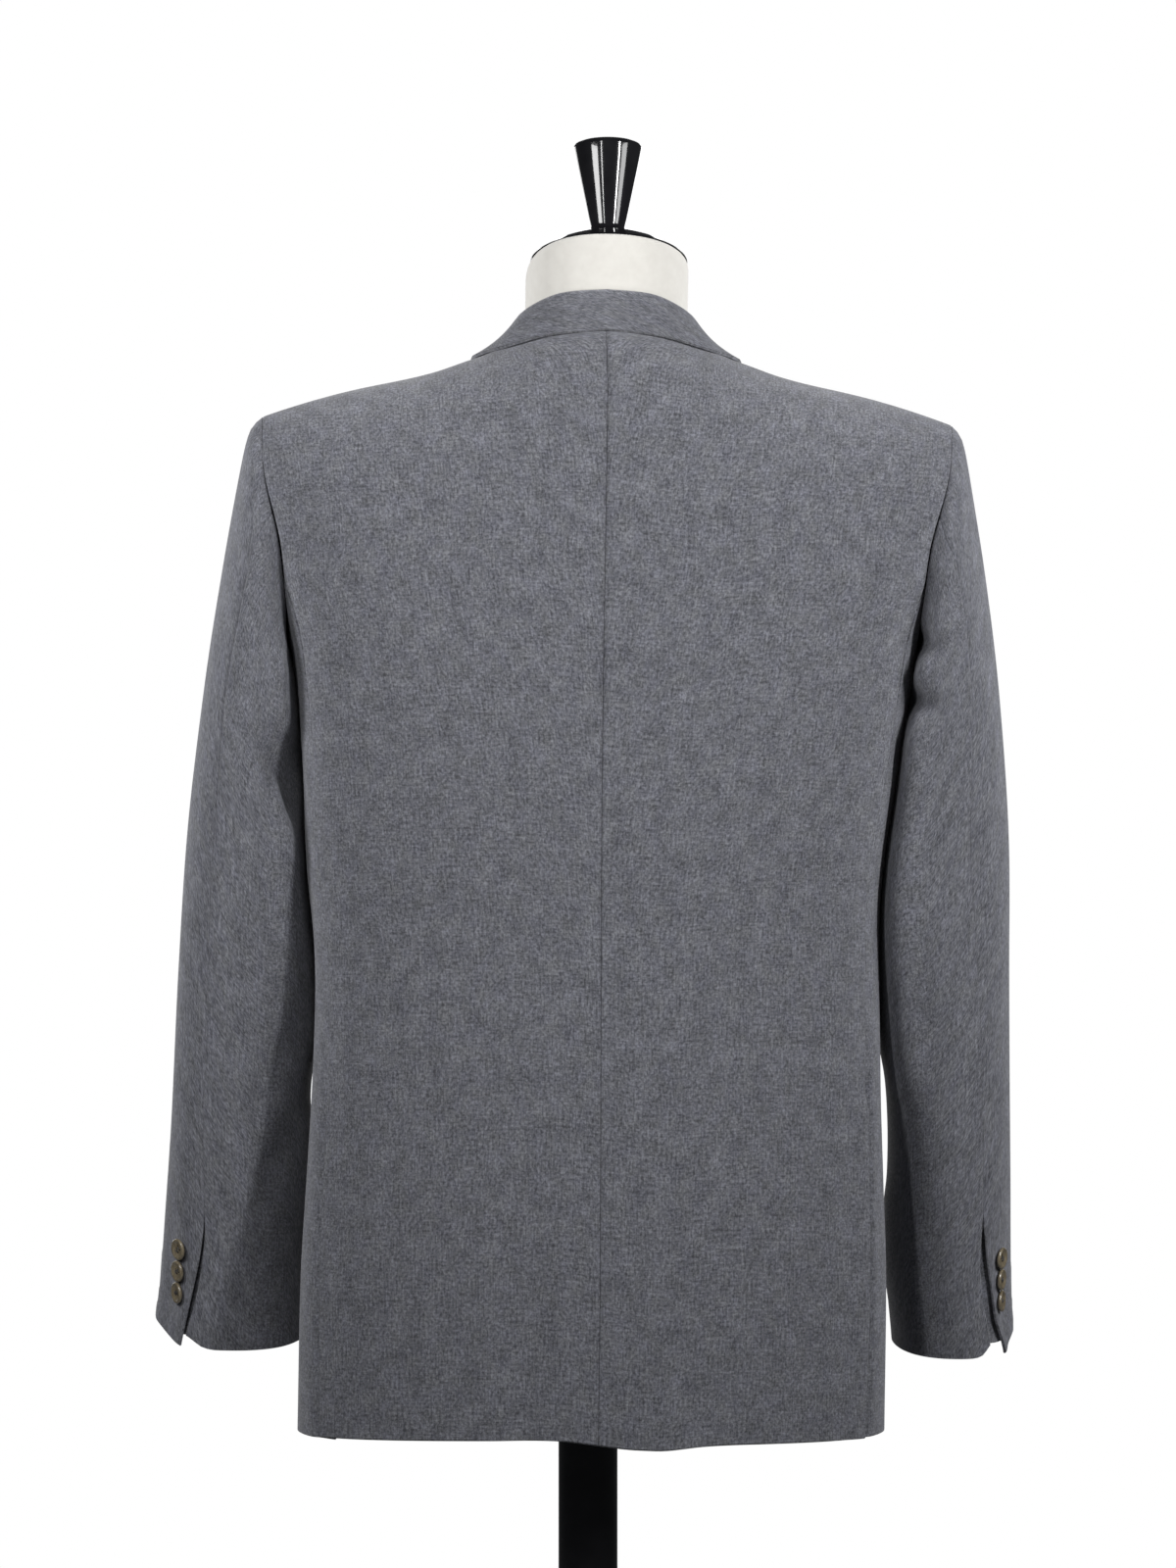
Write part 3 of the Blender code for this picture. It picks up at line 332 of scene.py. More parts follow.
def add_object(name, data):
    made = bpy.data.objects.new(name, data)
    bpy.context.scene.collection.objects.link(made)
    return made


def add_piece(name, mesh, slot=None):
    """Puts a mesh in the scene. With a slot it is a piece, riding on the part's one body."""
    mesh.shade_smooth()
    piece = add_object(name, mesh)
    if slot:
        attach(piece, "root")
    return piece


def shell(name, middle, out, side, grain=0.0, flip=False, soft=(1, 1, 1, 1)):
    """A cloth piece: both faces of a grid of points, joined round its edge. The first and
    last row and the first and last column are as soft as soft says: 1 free, less sewn."""
    rows, columns = middle.shape[:2]
    u, v = arc_length(middle, 1), arc_length(middle, 0)
    u = u - u[:, columns // 2:columns // 2 + 1]
    turned = math.radians(grain)
    flat = np.stack((u * math.cos(turned) - v * math.sin(turned),
                     u * math.sin(turned) + v * math.cos(turned)), -1)
    flat += (sum(name.encode()) % 17 * 0.31, sum(name.encode()) % 23 * 0.27)
    inner = middle.copy()
    for rounding, edge, beside in (
            (soft[0], np.s_[0], np.s_[1]), (soft[1], np.s_[-1], np.s_[-2]),
            (soft[2], np.s_[:, 0], np.s_[:, 1]), (soft[3], np.s_[:, -1], np.s_[:, -2])):
        inset = 0.35 * WALL * np.reshape(rounding, (-1, 1))
        inner[edge] += unit(middle[beside] - middle[edge]) * inset
    rim = np.concatenate((np.arange(columns), np.arange(1, rows) * columns + columns - 1,
                          (rows - 1) * columns + np.arange(columns - 2, -1, -1),
                          np.arange(rows - 2, 0, -1) * columns))
    points = np.concatenate(((inner + out * WALL / 2).reshape(-1, 3),
                             (inner - out * WALL / 2).reshape(-1, 3),
                             middle.reshape(-1, 3)[rim]))
    count = rows * columns
    corner = (np.arange(rows - 1)[:, None] * columns + np.arange(columns - 1)).reshape(-1)
    quads = np.stack((corner, corner + 1, corner + columns + 1, corner + columns), -1)
    after, here, mid = np.roll(rim, -1), rim, 2 * count + np.arange(len(rim))
    mid_after = np.roll(mid, -1)
    faces = np.concatenate((quads, quads[:, ::-1] + count,
                            np.stack((after, here, mid, mid_after), -1),
                            np.stack((mid_after, mid, here + count, after + count), -1)))
    if (side > 0) != flip:
        faces = faces[:, ::-1]
    uv = np.concatenate((flat.reshape(-1, 2),) * 2 + (flat.reshape(-1, 2)[rim],))
    mesh = bpy.data.meshes.new(name)
    mesh.vertices.add(len(points))
    mesh.vertices.foreach_set("co", set_in_place(points, side).astype(np.float32).ravel())
    mesh.loops.add(faces.size)
    mesh.loops.foreach_set("vertex_index", faces.ravel().astype(np.int32))
    mesh.polygons.add(len(faces))
    mesh.polygons.foreach_set("loop_start", np.arange(0, faces.size, 4, dtype=np.int32))
    mesh.update(calc_edges=True)
    layer = mesh.uv_layers.new(name="cut")
    layer.data.foreach_set("uv", uv[faces.ravel()].astype(np.float32).ravel())
    mesh.materials.append(flannel)
    return add_piece(name, mesh, "flannel")


def grid_out(points, flip=1.0):
    """The directions out of a grid of points, from its own neighbours."""
    return unit(np.cross(np.gradient(points, axis=0), np.gradient(points, axis=1))) * flip


def creases(points, table):
    """Soft folds: each is a hollow along a line, seen square on, with a slight ridge
    beside it. A row is (line of (x, z), half width, depth)."""
    push = np.zeros(points.shape[:2])
    for line, width, depth in table:
        line = np.array(line, float)
        starts = arc_length(line, 0)
        starts = starts / starts[-1]
        near = np.full(push.shape, 1e9)
        place = np.zeros(push.shape)
        for k, (a, b) in enumerate(zip(line, line[1:])):
            run = b - a
            part = np.clip(((points[..., (0, 2)] - a) @ run) / (run @ run), 0, 1)
            away = np.linalg.norm(points[..., (0, 2)] - (a + part[..., None] * run), axis=-1)
            closer = away < near
            near = np.where(closer, away, near)
            place = np.where(closer, starts[k] + part * (starts[k + 1] - starts[k]), place)
        q = near / width
        taper = np.sin(np.pi * np.clip(place, 0.02, 0.98)) ** 0.7
        push -= depth * taper * (1 - 0.55 * q * q) * np.exp(-0.8 * q * q)
    return push


# ---------------- the body's pieces
# Two backs seamed down the middle, a side body under each arm, and two fronts that lap
# left over right. They are sewn edge to edge and hang open at two side vents.
def levels(top):
    """Levels from the hem up, about the same distance apart on the cloth."""
    fine = np.linspace(0.0, top, 600)
    run = arc_length(body(0.3, fine), 0)
    return np.interp(steps(run[-1], ROW), run, fine)[:, None]


BACK_WIDTH, SIDE_WIDTH, FRONT_WIDTH = 0.235, 0.135, 0.3
CENTRE_DRIFT = 0.0048   # how far the centre back seam drifts aside at the hem


def back_top(x):
    """Level where the back ends: the neckline near the centre, then the shoulder seam."""
    neck = 0.072 * np.sqrt(np.clip(1 - (x / 0.07) ** 2, 0, None))
    closing = np.clip(neck / yoke_at[2](66.0), 0, 1) ** (YOKE_ROUND / 2)
    return 1 + np.degrees(np.arccos(closing)) / 90


BACK_FOLDS = (   # soft troughs in the skirt
    (((0.045, 0.905), (0.041, 0.83), (0.04, 0.735)), 0.017, 0.0034),
    (((-0.075, 0.89), (-0.083, 0.82), (-0.09, 0.74)), 0.02, 0.0012),
    (((0.1, 1.02), (0.112, 0.93), (0.125, 0.84)), 0.022, 0.001))
VENT_LIFT = {"left": 0.0006, "right": 0.003}   # how far each back stands off at its vent
VENT_DEPTH = {"left": 0.0028, "right": 0.0044}   # how deep the side body lies under it there
VENT_UNDER = 0.03   # turns that the side body runs on under the back
HEM_HANG = curve_mm(   # how much higher the hem hangs, across
    (-0.19, -0.11, -0.078, -0.052, -0.038, -0.024, -0.006, 0.02, 0.065, 0.13, 0.19),
    (0, 1.3, 0.7, -1.7, -1.4, -0.4, 2, 5, 4.7, 3, 0.6))


def back_panel(side_name, side):
    level = levels(2.0)
    narrow = (level > 1) & (armhole_half(level, "back") > 0.5 - body_seam(1, 4))
    edge = np.where(narrow, 0.5 - armhole_half(level, "back"), body_seam(level, 4))
    part = along_seam(BACK_WIDTH)[None, :]
    drift = CENTRE_DRIFT * (1 - ease(0.0, 1.0, level))
    start = find(-side * drift, height_of(np.clip(level, 0, 1)), "back")[0]
    turn = start + (edge - start) * part
    top = back_top(body(turn, np.clip(level, None, 1.99))[..., 0])
    own = np.where(level > 1, level - (2.0 - top) * np.clip(level - 1, 0, 1) ** 3, level)
    points, out = laid(turn, own), outward(turn, own)
    across = arc_length(points, 1)
    to_edge = across[:, -1:] - across
    down = arc_length(points, 0)
    vented = 1 - ease(VENT_TOP - 0.02, VENT_TOP, points[..., 2])
    armhole = ease(1.0, 1.04, own) * (1 - 0.85 * ease(1.28, 1.55, own))
    push = seam_dip(across, 0.0005, 0.0014) * (1 - 0.6 * ease(1.33, 1.44, points[..., 2]))
    push += seam_dip(to_edge, 0.00015) * (1 - vented) * (own < 1)
    push += seam_dip(to_edge, 0.0008, 0.0024) * armhole + seam_dip(down[-1:] - down, 0.0003)
    push += VENT_LIFT[side_name] * vented * (1 - ease(0.0, 0.02, to_edge))
    placed = set_in_place(points, side)
    push += creases(placed, BACK_FOLDS)
    points = points + out * push[..., None]
    points[..., 2] += HEM_HANG(placed[..., 0]) * (1 - ease(0.0, 0.3, level))
    piece = shell("back_cloth_" + side_name, points, out, side,
                  soft=(1, 0.1, 0.3, 0.1 + 0.9 * vented[:, 0]))
    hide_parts("back_" + side_name)


def side_panel(side_name, side):
    level = levels(1.0)
    start, end = body_seam(level, 4), body_seam(level, 5)
    vent = 1 - ease(level_of(VENT_TOP - 0.035), level_of(VENT_TOP - 0.011), level)
    below = 1 - ease(level_of(VENT_TOP - 0.009), level_of(VENT_TOP + 0.035), level)
    part = along_seam(SIDE_WIDTH)[None, :]
    under = VENT_UNDER * vent
    turn = start - under + (end - start + under) * part
    own = np.where(level > 0.8, 0.8 + (level - 0.8) / 0.2 * (armhole_level(turn) - 0.8), level)
    lapped = below * (1 - ease(0.006, 0.03, turn - start))
    points, out = laid(turn, own, -VENT_DEPTH[side_name] * lapped), outward(turn, own)
    across = arc_length(points, 1)
    push = seam_dip(across[:, -1:] - across) + seam_dip(across, 0.00015) * (1 - vent)
    points = points + out * push[..., None]
    piece = shell("side_cloth_" + side_name, points, out, side,
                  soft=(1, 0.3, 0.1 + 0.9 * vent[:, 0], 0.1))
    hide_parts("side_" + side_name)


def roll_x(z):
    """How far across, at a height, the front folds out into its lapel."""
    return -OVERLAP + (OVERLAP + ROLL_NECK) * (z - BREAK) / (ridge(ROLL_NECK) - BREAK)


def front_edge(level):
    """Turn of the front's free edge: straight down the overlap, then the roll line."""
    level = np.asarray(level, float)
    x = np.zeros_like(level)
    for _ in range(12):
        turn = find(x, 1.4, "front")[0]
        z = np.where(level > 1, body(turn, level)[..., 2], height_of(level))
        x = np.where(z < BREAK, -OVERLAP, roll_x(z))
    width, _, _, square = girth(z, 90 * np.clip(level - 1, 0, 1))
    return 1 - np.copysign(np.arcsin((np.abs(x) / width) ** (square / 2)) / np.pi, x)


FRONT_GAP, LAPEL_ROOM = 0.00143, 0.005   # half the gap of the fronts, and under the lapels


def layer(side_name, x, z):
    """How far a front lies out of the jacket's surface, where the fronts overlap."""
    half = FRONT_GAP * (1 - ease(OVERLAP, OVERLAP + 0.05, x)) * (1 - ease(1.36, 1.44, z))
    if side_name == "right":
        return -half
    room = LAPEL_ROOM * (1 - ease(OVERLAP + 0.005, OVERLAP + 0.075, x))
    return half + room * ease(BREAK - 0.06, BREAK - 0.004, z) * (1 - ease(1.34, 1.42, z))


FRONT_FOLDS = {   # a trough in each skirt and a pull towards the fastened button
    "left": ((((0.15, 1.05), (0.12, 0.93), (0.115, 0.8)), 0.02, 0.0022),
             (((0.165, 1.19), (0.12, 1.15), (0.07, 1.125)), 0.016, 0.0016)),
    "right": ((((-0.16, 1.03), (-0.14, 0.92), (-0.13, 0.79)), 0.022, 0.002),
              (((-0.17, 1.2), (-0.125, 1.15), (-0.085, 1.115)), 0.018, 0.0018)),
}


def front_panel(side_name, side):
    level = levels(2.0)
    wide = (level > 1) & (armhole_half(level, "front") > body_seam(1, 5) - 0.5)
    start = np.where(wide, 0.5 + armhole_half(level, "front"), body_seam(level, 5))
    part = along_seam(FRONT_WIDTH)[None, :]
    turn = start + (front_edge(level) - start) * part
    place = body(turn, level)
    points = laid(turn, level, layer(side_name, place[..., 0], place[..., 2]))
    out = outward(turn, level)
    across, down = arc_length(points, 1), arc_length(points, 0)
    push = seam_dip(across) + creases(set_in_place(points, side), FRONT_FOLDS[side_name])
    push += seam_dip(down[-1:] - down)
    points = points + out * push[..., None]
    piece = shell("front_cloth_" + side_name, points, out, side, soft=(1, 0.1, 0.1, 1))
    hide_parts("front_" + side_name)


for side_name, side in SIDES.items():
    back_panel(side_name, side)
    side_panel(side_name, side)
    front_panel(side_name, side)


# ---------------- the lapels
# Peak lapels, each the front turned out on its roll line and pressed only above the
# break, so that it rolls softly below and lies flat towards its point.
# Parts of the way up the roll line, with the distance out from it: first the outer edge up
# to the point, then the notch from the collar out to the point.
LAPEL_EDGE = np.array(((0.0, 0.004), (0.06, 0.022), (0.2, 0.048), (0.42, 0.073),
                       (0.66, 0.091), (0.926, 0.103)))
LAPEL_TOP = np.array(((0.914, 0.0), (0.898, 0.026), (0.872, 0.066), (0.926, 0.103)))
LAPEL_LENGTH, LAPEL_WIDTH, FOLD_RADIUS = 0.37, 0.1, 0.0024
BELLY = {"left": 0.0045, "right": 0.0005}   # how full each rolls; the under one lies flat
ROLL_LOW = np.array((-OVERLAP, BREAK))
ROLL_RUN = np.array((ROLL_NECK, ridge(ROLL_NECK))) - ROLL_LOW
ROLL_OUT = np.array((ROLL_RUN[1], -ROLL_RUN[0])) / np.linalg.norm(ROLL_RUN)


def on_front(side_name, x, z, lift):
    """Points over the front, at places across and up, lifted off it."""
    turn, level = find(x, np.minimum(z, ridge(x) - 0.001), "front")
    return laid(turn, level, layer(side_name, x, z) + lift)


def lapel(side_name, side):
    """A grid that follows the roll line one way and the lapel's width the other."""
    v, u = along_seam(LAPEL_LENGTH), along_seam(LAPEL_WIDTH)
    edge = curve(np.linspace(0, 1, 6), LAPEL_EDGE)(v)
    top = np.stack([np.interp(u, np.linspace(0, 1, 4), LAPEL_TOP[:, k]) for k in (0, 1)], -1)
    along = v[:, None] * top[None, :, 0] + u * (edge[:, :1] - v[:, None] * LAPEL_EDGE[-1, 0])
    across = edge[:, 1:] * u + v[:, None] * (top[None, :, 1] - LAPEL_TOP[-1, 1] * u)
    across = np.clip(across, 0, None)
    flat = ROLL_LOW + along[..., None] * ROLL_RUN + across[..., None] * ROLL_OUT
    belly = BELLY[side_name] * hump(v, 0.1, 0.16)[:, None]
    lift = 2 * FOLD_RADIUS + belly * np.exp(-across / 0.02)
    points = on_front(side_name, flat[..., 0], flat[..., 1], lift)
    turned = []
    for angle in np.radians((10, 25, 42, 60, 78, 95)):
        at = (ROLL_LOW + (v * LAPEL_TOP[0, 0])[:, None] * ROLL_RUN
              - ROLL_OUT * FOLD_RADIUS * math.sin(angle))
        rise = (FOLD_RADIUS + belly[:, 0] / 2) * (1 + math.cos(angle))
        turned.insert(0, on_front(side_name, at[:, 0], at[:, 1], rise))
    points = np.concatenate((np.stack(turned, 1), points), 1)
    piece = shell("lapel_cloth_" + side_name, points, grid_out(points, -1.0), side,
                  grain=-28.0, flip=True)
    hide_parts("lapel_" + side_name)


for side_name, side in SIDES.items():
    lapel(side_name, side)


# ---------------- the collar
# One piece round the neck: a stand sewn to the neckline rises to the fold, and the fall
# comes down outside over the back and on to the lapels.
COLLAR = (   # fold x, y, z, where it lands, foot x, z, edge x, z, foot lift, edge lift
    (0.0, 0.054, 1.5345, "back", 0.0, None, 0.0, 1.504, 0.0, 0.0032),
    (0.03, 0.0475, 1.5325, "back", 0.03, None, 0.037, 1.5005, 0.0, 0.0032),
    (0.052, 0.024, 1.524, "back", 0.056, None, 0.068, 1.4935, 0.0, 0.0032),
    (0.0592, -0.008, 1.5175, "ridge", 0.0715, None, 0.088, None, 0.0032, 0.0036),
    (0.0602, -0.029, 1.511, "front", 0.072, 1.495, 0.0925, 1.485, 0.0038, 0.0068),
    (None, None, 1.492, "front", 0.072, 1.487, 0.103, 1.463, 0.0038, 0.0068),
    (None, None, 1.468, "front", 0.062, 1.462, 0.113, 1.428, 0.0038, 0.0068))
HALF_COLLAR = 0.25
FOLD_IN, FOLD_HALF = 0.0034, 0.0018   # depth and half thickness of the pressed fold
ON_RIDGE = 9.0   # any height above the ridge, which is found as the ridge itself


def collar_lines(row):
    """The stand's foot, the top fold and the fall's edge at one row of the table."""
    x, y, z, lands, foot_x, foot_z, edge_x, edge_z, foot_lift, edge_lift = row
    fold = laid(*find(roll_x(z), z, "front"), 0.0058) if x is None else np.array((x, y, z))
    if lands == "back":
        neck = back_top(foot_x) + 0.024
        foot = body(find(foot_x, body(0.1, neck)[2], "back")[0], neck)
        return foot, fold, laid(*find(edge_x, edge_z, "back"), edge_lift)
    facing = "front" if lands == "front" else "back"
    foot = laid(*find(foot_x, foot_z or ON_RIDGE, facing), foot_lift)
    return foot, fold, laid(*find(edge_x, edge_z or ON_RIDGE, facing), edge_lift)


foot_line, fold_line, edge_line = (curve(range(7), np.array(line))
                                   for line in zip(*(collar_lines(row) for row in COLLAR)))
t = along_seam(HALF_COLLAR, 0.0038, ()) * 6
foot, fold, edge = foot_line(t), fold_line(t), edge_line(t)
down_in, down_out = unit(foot - fold), unit(edge - fold)
inward, apart = unit(down_in + down_out), unit(down_out - down_in)
stand, fall = (fold + inward * FOLD_IN + apart * half for half in (-FOLD_HALF, FOLD_HALF))
lines = [foot, (foot + stand) / 2, stand]
lines += [fold + inward * 0.0009 + apart * 0.0013 * k for k in (-1, 1)] + [fall]
bow = (0.0008 - 0.0032 * hump(t, 3.3, 1.1))[:, None]
for part in (0.2, 0.4, 0.6, 0.8, 1.0):
    lines.append(fall + (edge - fall) * part
                 + apart * (bow * math.sin(math.pi * part) - 0.0006 * part ** 4))
rough = np.stack(lines, 0)
reach = arc_length(rough, 0).mean(1)
half = curve(reach, rough)(steps(reach[-1], ROW / 2)).transpose(1, 0, 2)
points = np.concatenate(((half * (-1, 1, 1))[:0:-1], half))
collar = shell("collar_cloth", points, grid_out(points), 1)
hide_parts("collar")


# ---------------- the sleeves
# Two-piece sleeves, set in high with a little fullness at the head. They hang slightly
# forward, break softly at the elbow, and open at a short vent above each cuff.
ARMS = {   # outer x, z, inner x, z, middle y, half depth in millimetres; the back
    # seam and the front seam in thousandths of a turn
    "left": np.array((
        (236, 1448, 214.5, 1287, 0, 72, 220, 720), (244.5, 1437, 214.8, 1276, 1, 74, 228, 720),
        (252, 1400, 213, 1264, 2, 76, 208, 715), (262, 1338, 209.7, 1242, 2, 77, 190, 710),
        (272.5, 1264, 206, 1205, 0, 76, 172, 705), (282.5, 1170, 200, 1145, -4, 70, 172, 700),
        (288.2, 1070, 196.6, 1060, -12, 64, 168, 700),
        (292.7, 960, 200.8, 956, -26, 59, 175, 700), (299, 870, 202, 869, -40, 54, 178, 700),
        (303.3, 813.5, 199.5, 813.5, -48, 52, 158, 700))) / 1000,
    "right": np.array((
        (236, 1448, 214.5, 1287, 0, 72, 215, 720), (243.2, 1437, 214.8, 1276, 1, 74, 235, 720),
        (250.5, 1400, 213, 1264, 2, 77, 212, 715), (261, 1338, 209.7, 1242, 2, 79, 199, 710),
        (271, 1264, 206, 1205, 0, 79, 197, 705), (279.5, 1170, 200.2, 1145, -4, 74, 208, 700),
        (282, 1070, 197.4, 1060, -12, 68, 180, 700),
        (285.5, 960, 204.2, 956, -26, 62, 175, 700), (289, 870, 205.2, 869, -40, 57, 174, 700),
        (292.1, 808.5, 210.5, 808.5, -48, 55, 171, 700))) / 1000,
}
SLEEVE_FOLDS = {   # lines as seen from behind: hollows at the elbow and along the arm
    "left": (
        (((0.226, 1.24), (0.2188, 1.2243), (0.2115, 1.2094), (0.2022, 1.1926), (0.196, 1.168)),
         0.0075, 0.005),
        (((0.216, 1.262), (0.2075, 1.232), (0.199, 1.196), (0.193, 1.165)), 0.01, 0.005),
        (((0.213, 1.322), (0.206, 1.285), (0.196, 1.236)), 0.01, 0.0045),
        (((0.236, 1.185), (0.222, 1.13), (0.214, 1.06)), 0.014, 0.003),
        (((0.203, 1.038), (0.216, 1.0), (0.232, 0.96)), 0.011, 0.0028),
        (((0.198, 0.985), (0.214, 0.945), (0.226, 0.9)), 0.01, 0.002)),
    "right": (
        (((-0.206, 1.302), (-0.225, 1.2975), (-0.246, 1.288)), 0.008, 0.0036),
        (((-0.2, 1.264), (-0.22, 1.259), (-0.242, 1.248)), 0.008, 0.0036),
        (((-0.262, 1.16), (-0.264, 1.11), (-0.266, 1.05)), 0.012, 0.0022),
        (((-0.214, 1.06), (-0.23, 1.03), (-0.252, 1.01)), 0.014, 0.002)),
}
HOLLOWS = {   # ring, turn, reach along and round, depth
    "left": ((4.4, 0.33, 0.55, 0.17, 0.004), (6.0, 0.3, 0.7, 0.15, 0.003),
             (8.45, 0.08, 0.62, 0.055, 0.007)),
    "right": ((4.8, 0.27, 0.6, 0.15, 0.004), (6.3, 0.34, 0.7, 0.15, 0.0025),
              (8.4, 0.07, 0.55, 0.05, 0.0065)),
}
SWELLS = {   # how far the cloth beside the body swells back, by height
    "left": curve_mm(
        (0.8, 0.95, 1, 1.08, 1.13, 1.17, 1.19, 1.207, 1.222, 1.245, 1.28, 1.31, 1.34, 1.37),
        (0, 0, 3, 8, 15, 21, 15, 8, 8, 16, 20, 12, 5, 0)),
    "right": curve_mm(
        (0.8, 0.9, 0.97, 1, 1.1, 1.2, 1.235, 1.259, 1.2785, 1.298, 1.322, 1.35, 1.38),
        (0, 0, 4, 12, 18, 20, 19, 3, 14, 1, 7, 4, 0)),
}
even = np.arange(98, 131, 2) / 100
CLOSE_TO_BODY = {   # how far the cloth is let out to lie against the body, by height
    "left": curve_mm((0.86, 0.88, 0.9, 0.92, 0.96, *even, 1.34), (
        0, 0.5, 2.6, 4, 3.7, 0.6, 1, 4.3, 4.3, 3.7, 3.2, 2.4, 1.1, 0.1, 0.2, 0.8, 1.5, 0.7, 0.1,
        1, 1.4, 0.9, 1.2)),
    "right": curve_mm((0.84, 0.87, 0.91, 0.93, *even, 1.34), (
        0, 2, 2.2, 0.5, 0, 0.8, 3.3, 4.2, 3.1, 2.4, 1.7, 0.9, 0, -0.5, -0.5, -0.6, -0.8, -0.5,
        0.7, 0.8, 0.9, 1.2)),
}
CUFF_SLANT = {"left": 0.0, "right": 0.03}   # turns the vent's edge slants away at the hem
VENT_LAP = 0.0012   # how far the top sleeve's edge stands off over the under sleeve's
CUFF_OPEN = {"left": (0.002, 0.007), "right": (0.018, 0.008)}   # turns the vent stands open
SEAM_BENDS = {"left": (0.014, -0.006), "right": (0.0, -0.0205)}   # turns, at vent and hem
CUFF_HEMS = {   # turn and how much higher the hem is there: top sleeve, then under sleeve
    "left": (((-0.3, 0.003), (-0.15, 0.01), (-0.03, 0.016), (0.03, 0.014), (0.09, 0.008),
              (0.125, 0.0045), (0.16, 0.001)),
             ((0.14, 0.011), (0.175, 0.007), (0.2, 0.0022), (0.23, 0.0), (0.36, -0.0006),
              (0.5, 0.003), (0.7, 0.003))),
    "right": (((-0.3, 0.003), (-0.15, 0.007), (-0.03, 0.0125), (0.02, 0.012), (0.06, 0.0075),
               (0.095, 0.0015), (0.16, 0.0005)),
              ((0.12, 0.011), (0.16, 0.008), (0.185, 0.002), (0.22, 0.0), (0.36, 0.0),
               (0.5, 0.003), (0.7, 0.003))),
}
TOP_WIDTH, UNDER_WIDTH = 0.215, 0.165
SLEEVE_SQUARE = 0.92   # 1 makes the sleeves' rings ellipses, and less makes them squarer
VENT_OPENS, VENT_FREE = (7.45, 8.3), (7.48, 7.72)   # rings over which the vent's edges part
SWELL_TURN, SWELL_REACH = 0.4, 0.075
AGAINST_TURN, AGAINST_REACH = 0.49, 0.06   # where the sleeve lies against the body
UNDER_ARM, ARM_RISE = 1.2556, 0.744   # level where the armhole turns under, and levels above

fine = np.linspace(0, 1, 60)
back_levels, front_levels = 2 - fine * ARM_RISE, UNDER_ARM + fine * ARM_RISE
behind_arm, before_arm = (armhole_half(UNDER_ARM, facing) for facing in ("back", "front"))
under_turns = 0.5 - behind_arm + fine * (behind_arm + before_arm)
armhole_line = np.concatenate((
    body(0.5 - armhole_half(back_levels, "back"), back_levels),
    body(under_turns, armhole_level(under_turns))[1:-1],
    body(0.5 + armhole_half(front_levels, "front"), front_levels)))
armhole_run = arc_length(armhole_line, 0)


def sleeve_ring(arm, k, turn):
    """Points round ring k of a sleeve: 0 at the outer end, a quarter turn at the back."""
    if k == 0:
        place = (turn % 1.0) * armhole_run[-1]
        ring = np.stack([np.interp(place, armhole_run, armhole_line[:, i]) for i in range(3)], -1)
        ring[..., 0] += 0.0004 + 0.001 * (1 - np.cos(2 * np.pi * turn)) / 2
        return ring
    outer_x, outer_z, inner_x, inner_z, middle_y, half_depth = arm[k, :6]
    across = power(np.cos(2 * np.pi * turn), SLEEVE_SQUARE)
    deep = power(np.sin(2 * np.pi * turn), SLEEVE_SQUARE) * half_depth
    drop = 0.07 * deep * (outer_z < 1.0)
    wrap = 0.022 * (1 - across) / 2 * (1 - ease(1.26, 1.4, outer_z))
    return np.stack(((outer_x + inner_x) / 2 + (outer_x - inner_x) / 2 * across,
                     middle_y + deep - wrap,
                     (outer_z + inner_z) / 2 + (outer_z - inner_z) / 2 * across - drop), -1)


def sleeve_points(side_name, t, turn):
    """Points of a sleeve: t, one for each row, counts the rings from the armhole down."""
    arm = ARMS[side_name]
    centres = np.stack(((arm[:, 0] + arm[:, 2]) / 2, arm[:, 4], (arm[:, 1] + arm[:, 3]) / 2), -1)
    rows = []
    for at, turns in zip(t, turn):
        k = min(int(at), 8)
        first, last = max(k - 1, 0), min(k + 2, 9)
        near = curve(range(first, last + 1),
                     np.stack([sleeve_ring(arm, i, turns) for i in range(first, last + 1)]))
        place = near(at)
        centre = centres[k] + (centres[k + 1] - centres[k]) * (at - k)
        hollow = sum(depth * np.exp(-((at - ring) / along) ** 2
                                    - ((turns % 1.0 - at_turn) / around) ** 2)
                     for ring, at_turn, along, around, depth in HOLLOWS[side_name])
        swell = SWELLS[side_name](place[..., 2]) * ease(0.0, 0.8, at)
        swell = swell * hump(turns % 1.0, SWELL_TURN, SWELL_REACH)
        place = place + unit(centre - place) * np.asarray(hollow)[..., None]
        rows.append(place + np.stack((-0.25 * swell, swell, 0 * swell), -1))
    return np.stack(rows)


def vent_underlap(side_name, side, seam_turn):
    """The strip of the under sleeve that runs on below the open vent."""
    t = np.linspace(7.4, 8.97, 13)
    seam = float(seam_turn[-1, 0]) + 0.01 * (9 - t[:, None])
    turn = seam + np.linspace(-0.125, 0.035, 18)
    points = sleeve_points(side_name, t, turn)
    points[..., 2] += 0.0075 * ease(8.0, 9.0, t)[:, None] ** 2
    out = grid_out(points)
    points = points - out * (0.0021 + 0.0018 * ease(7.4, 7.75, t))[:, None, None]
    piece = shell("vent_underlap_" + side_name, points, out, side)
    return piece


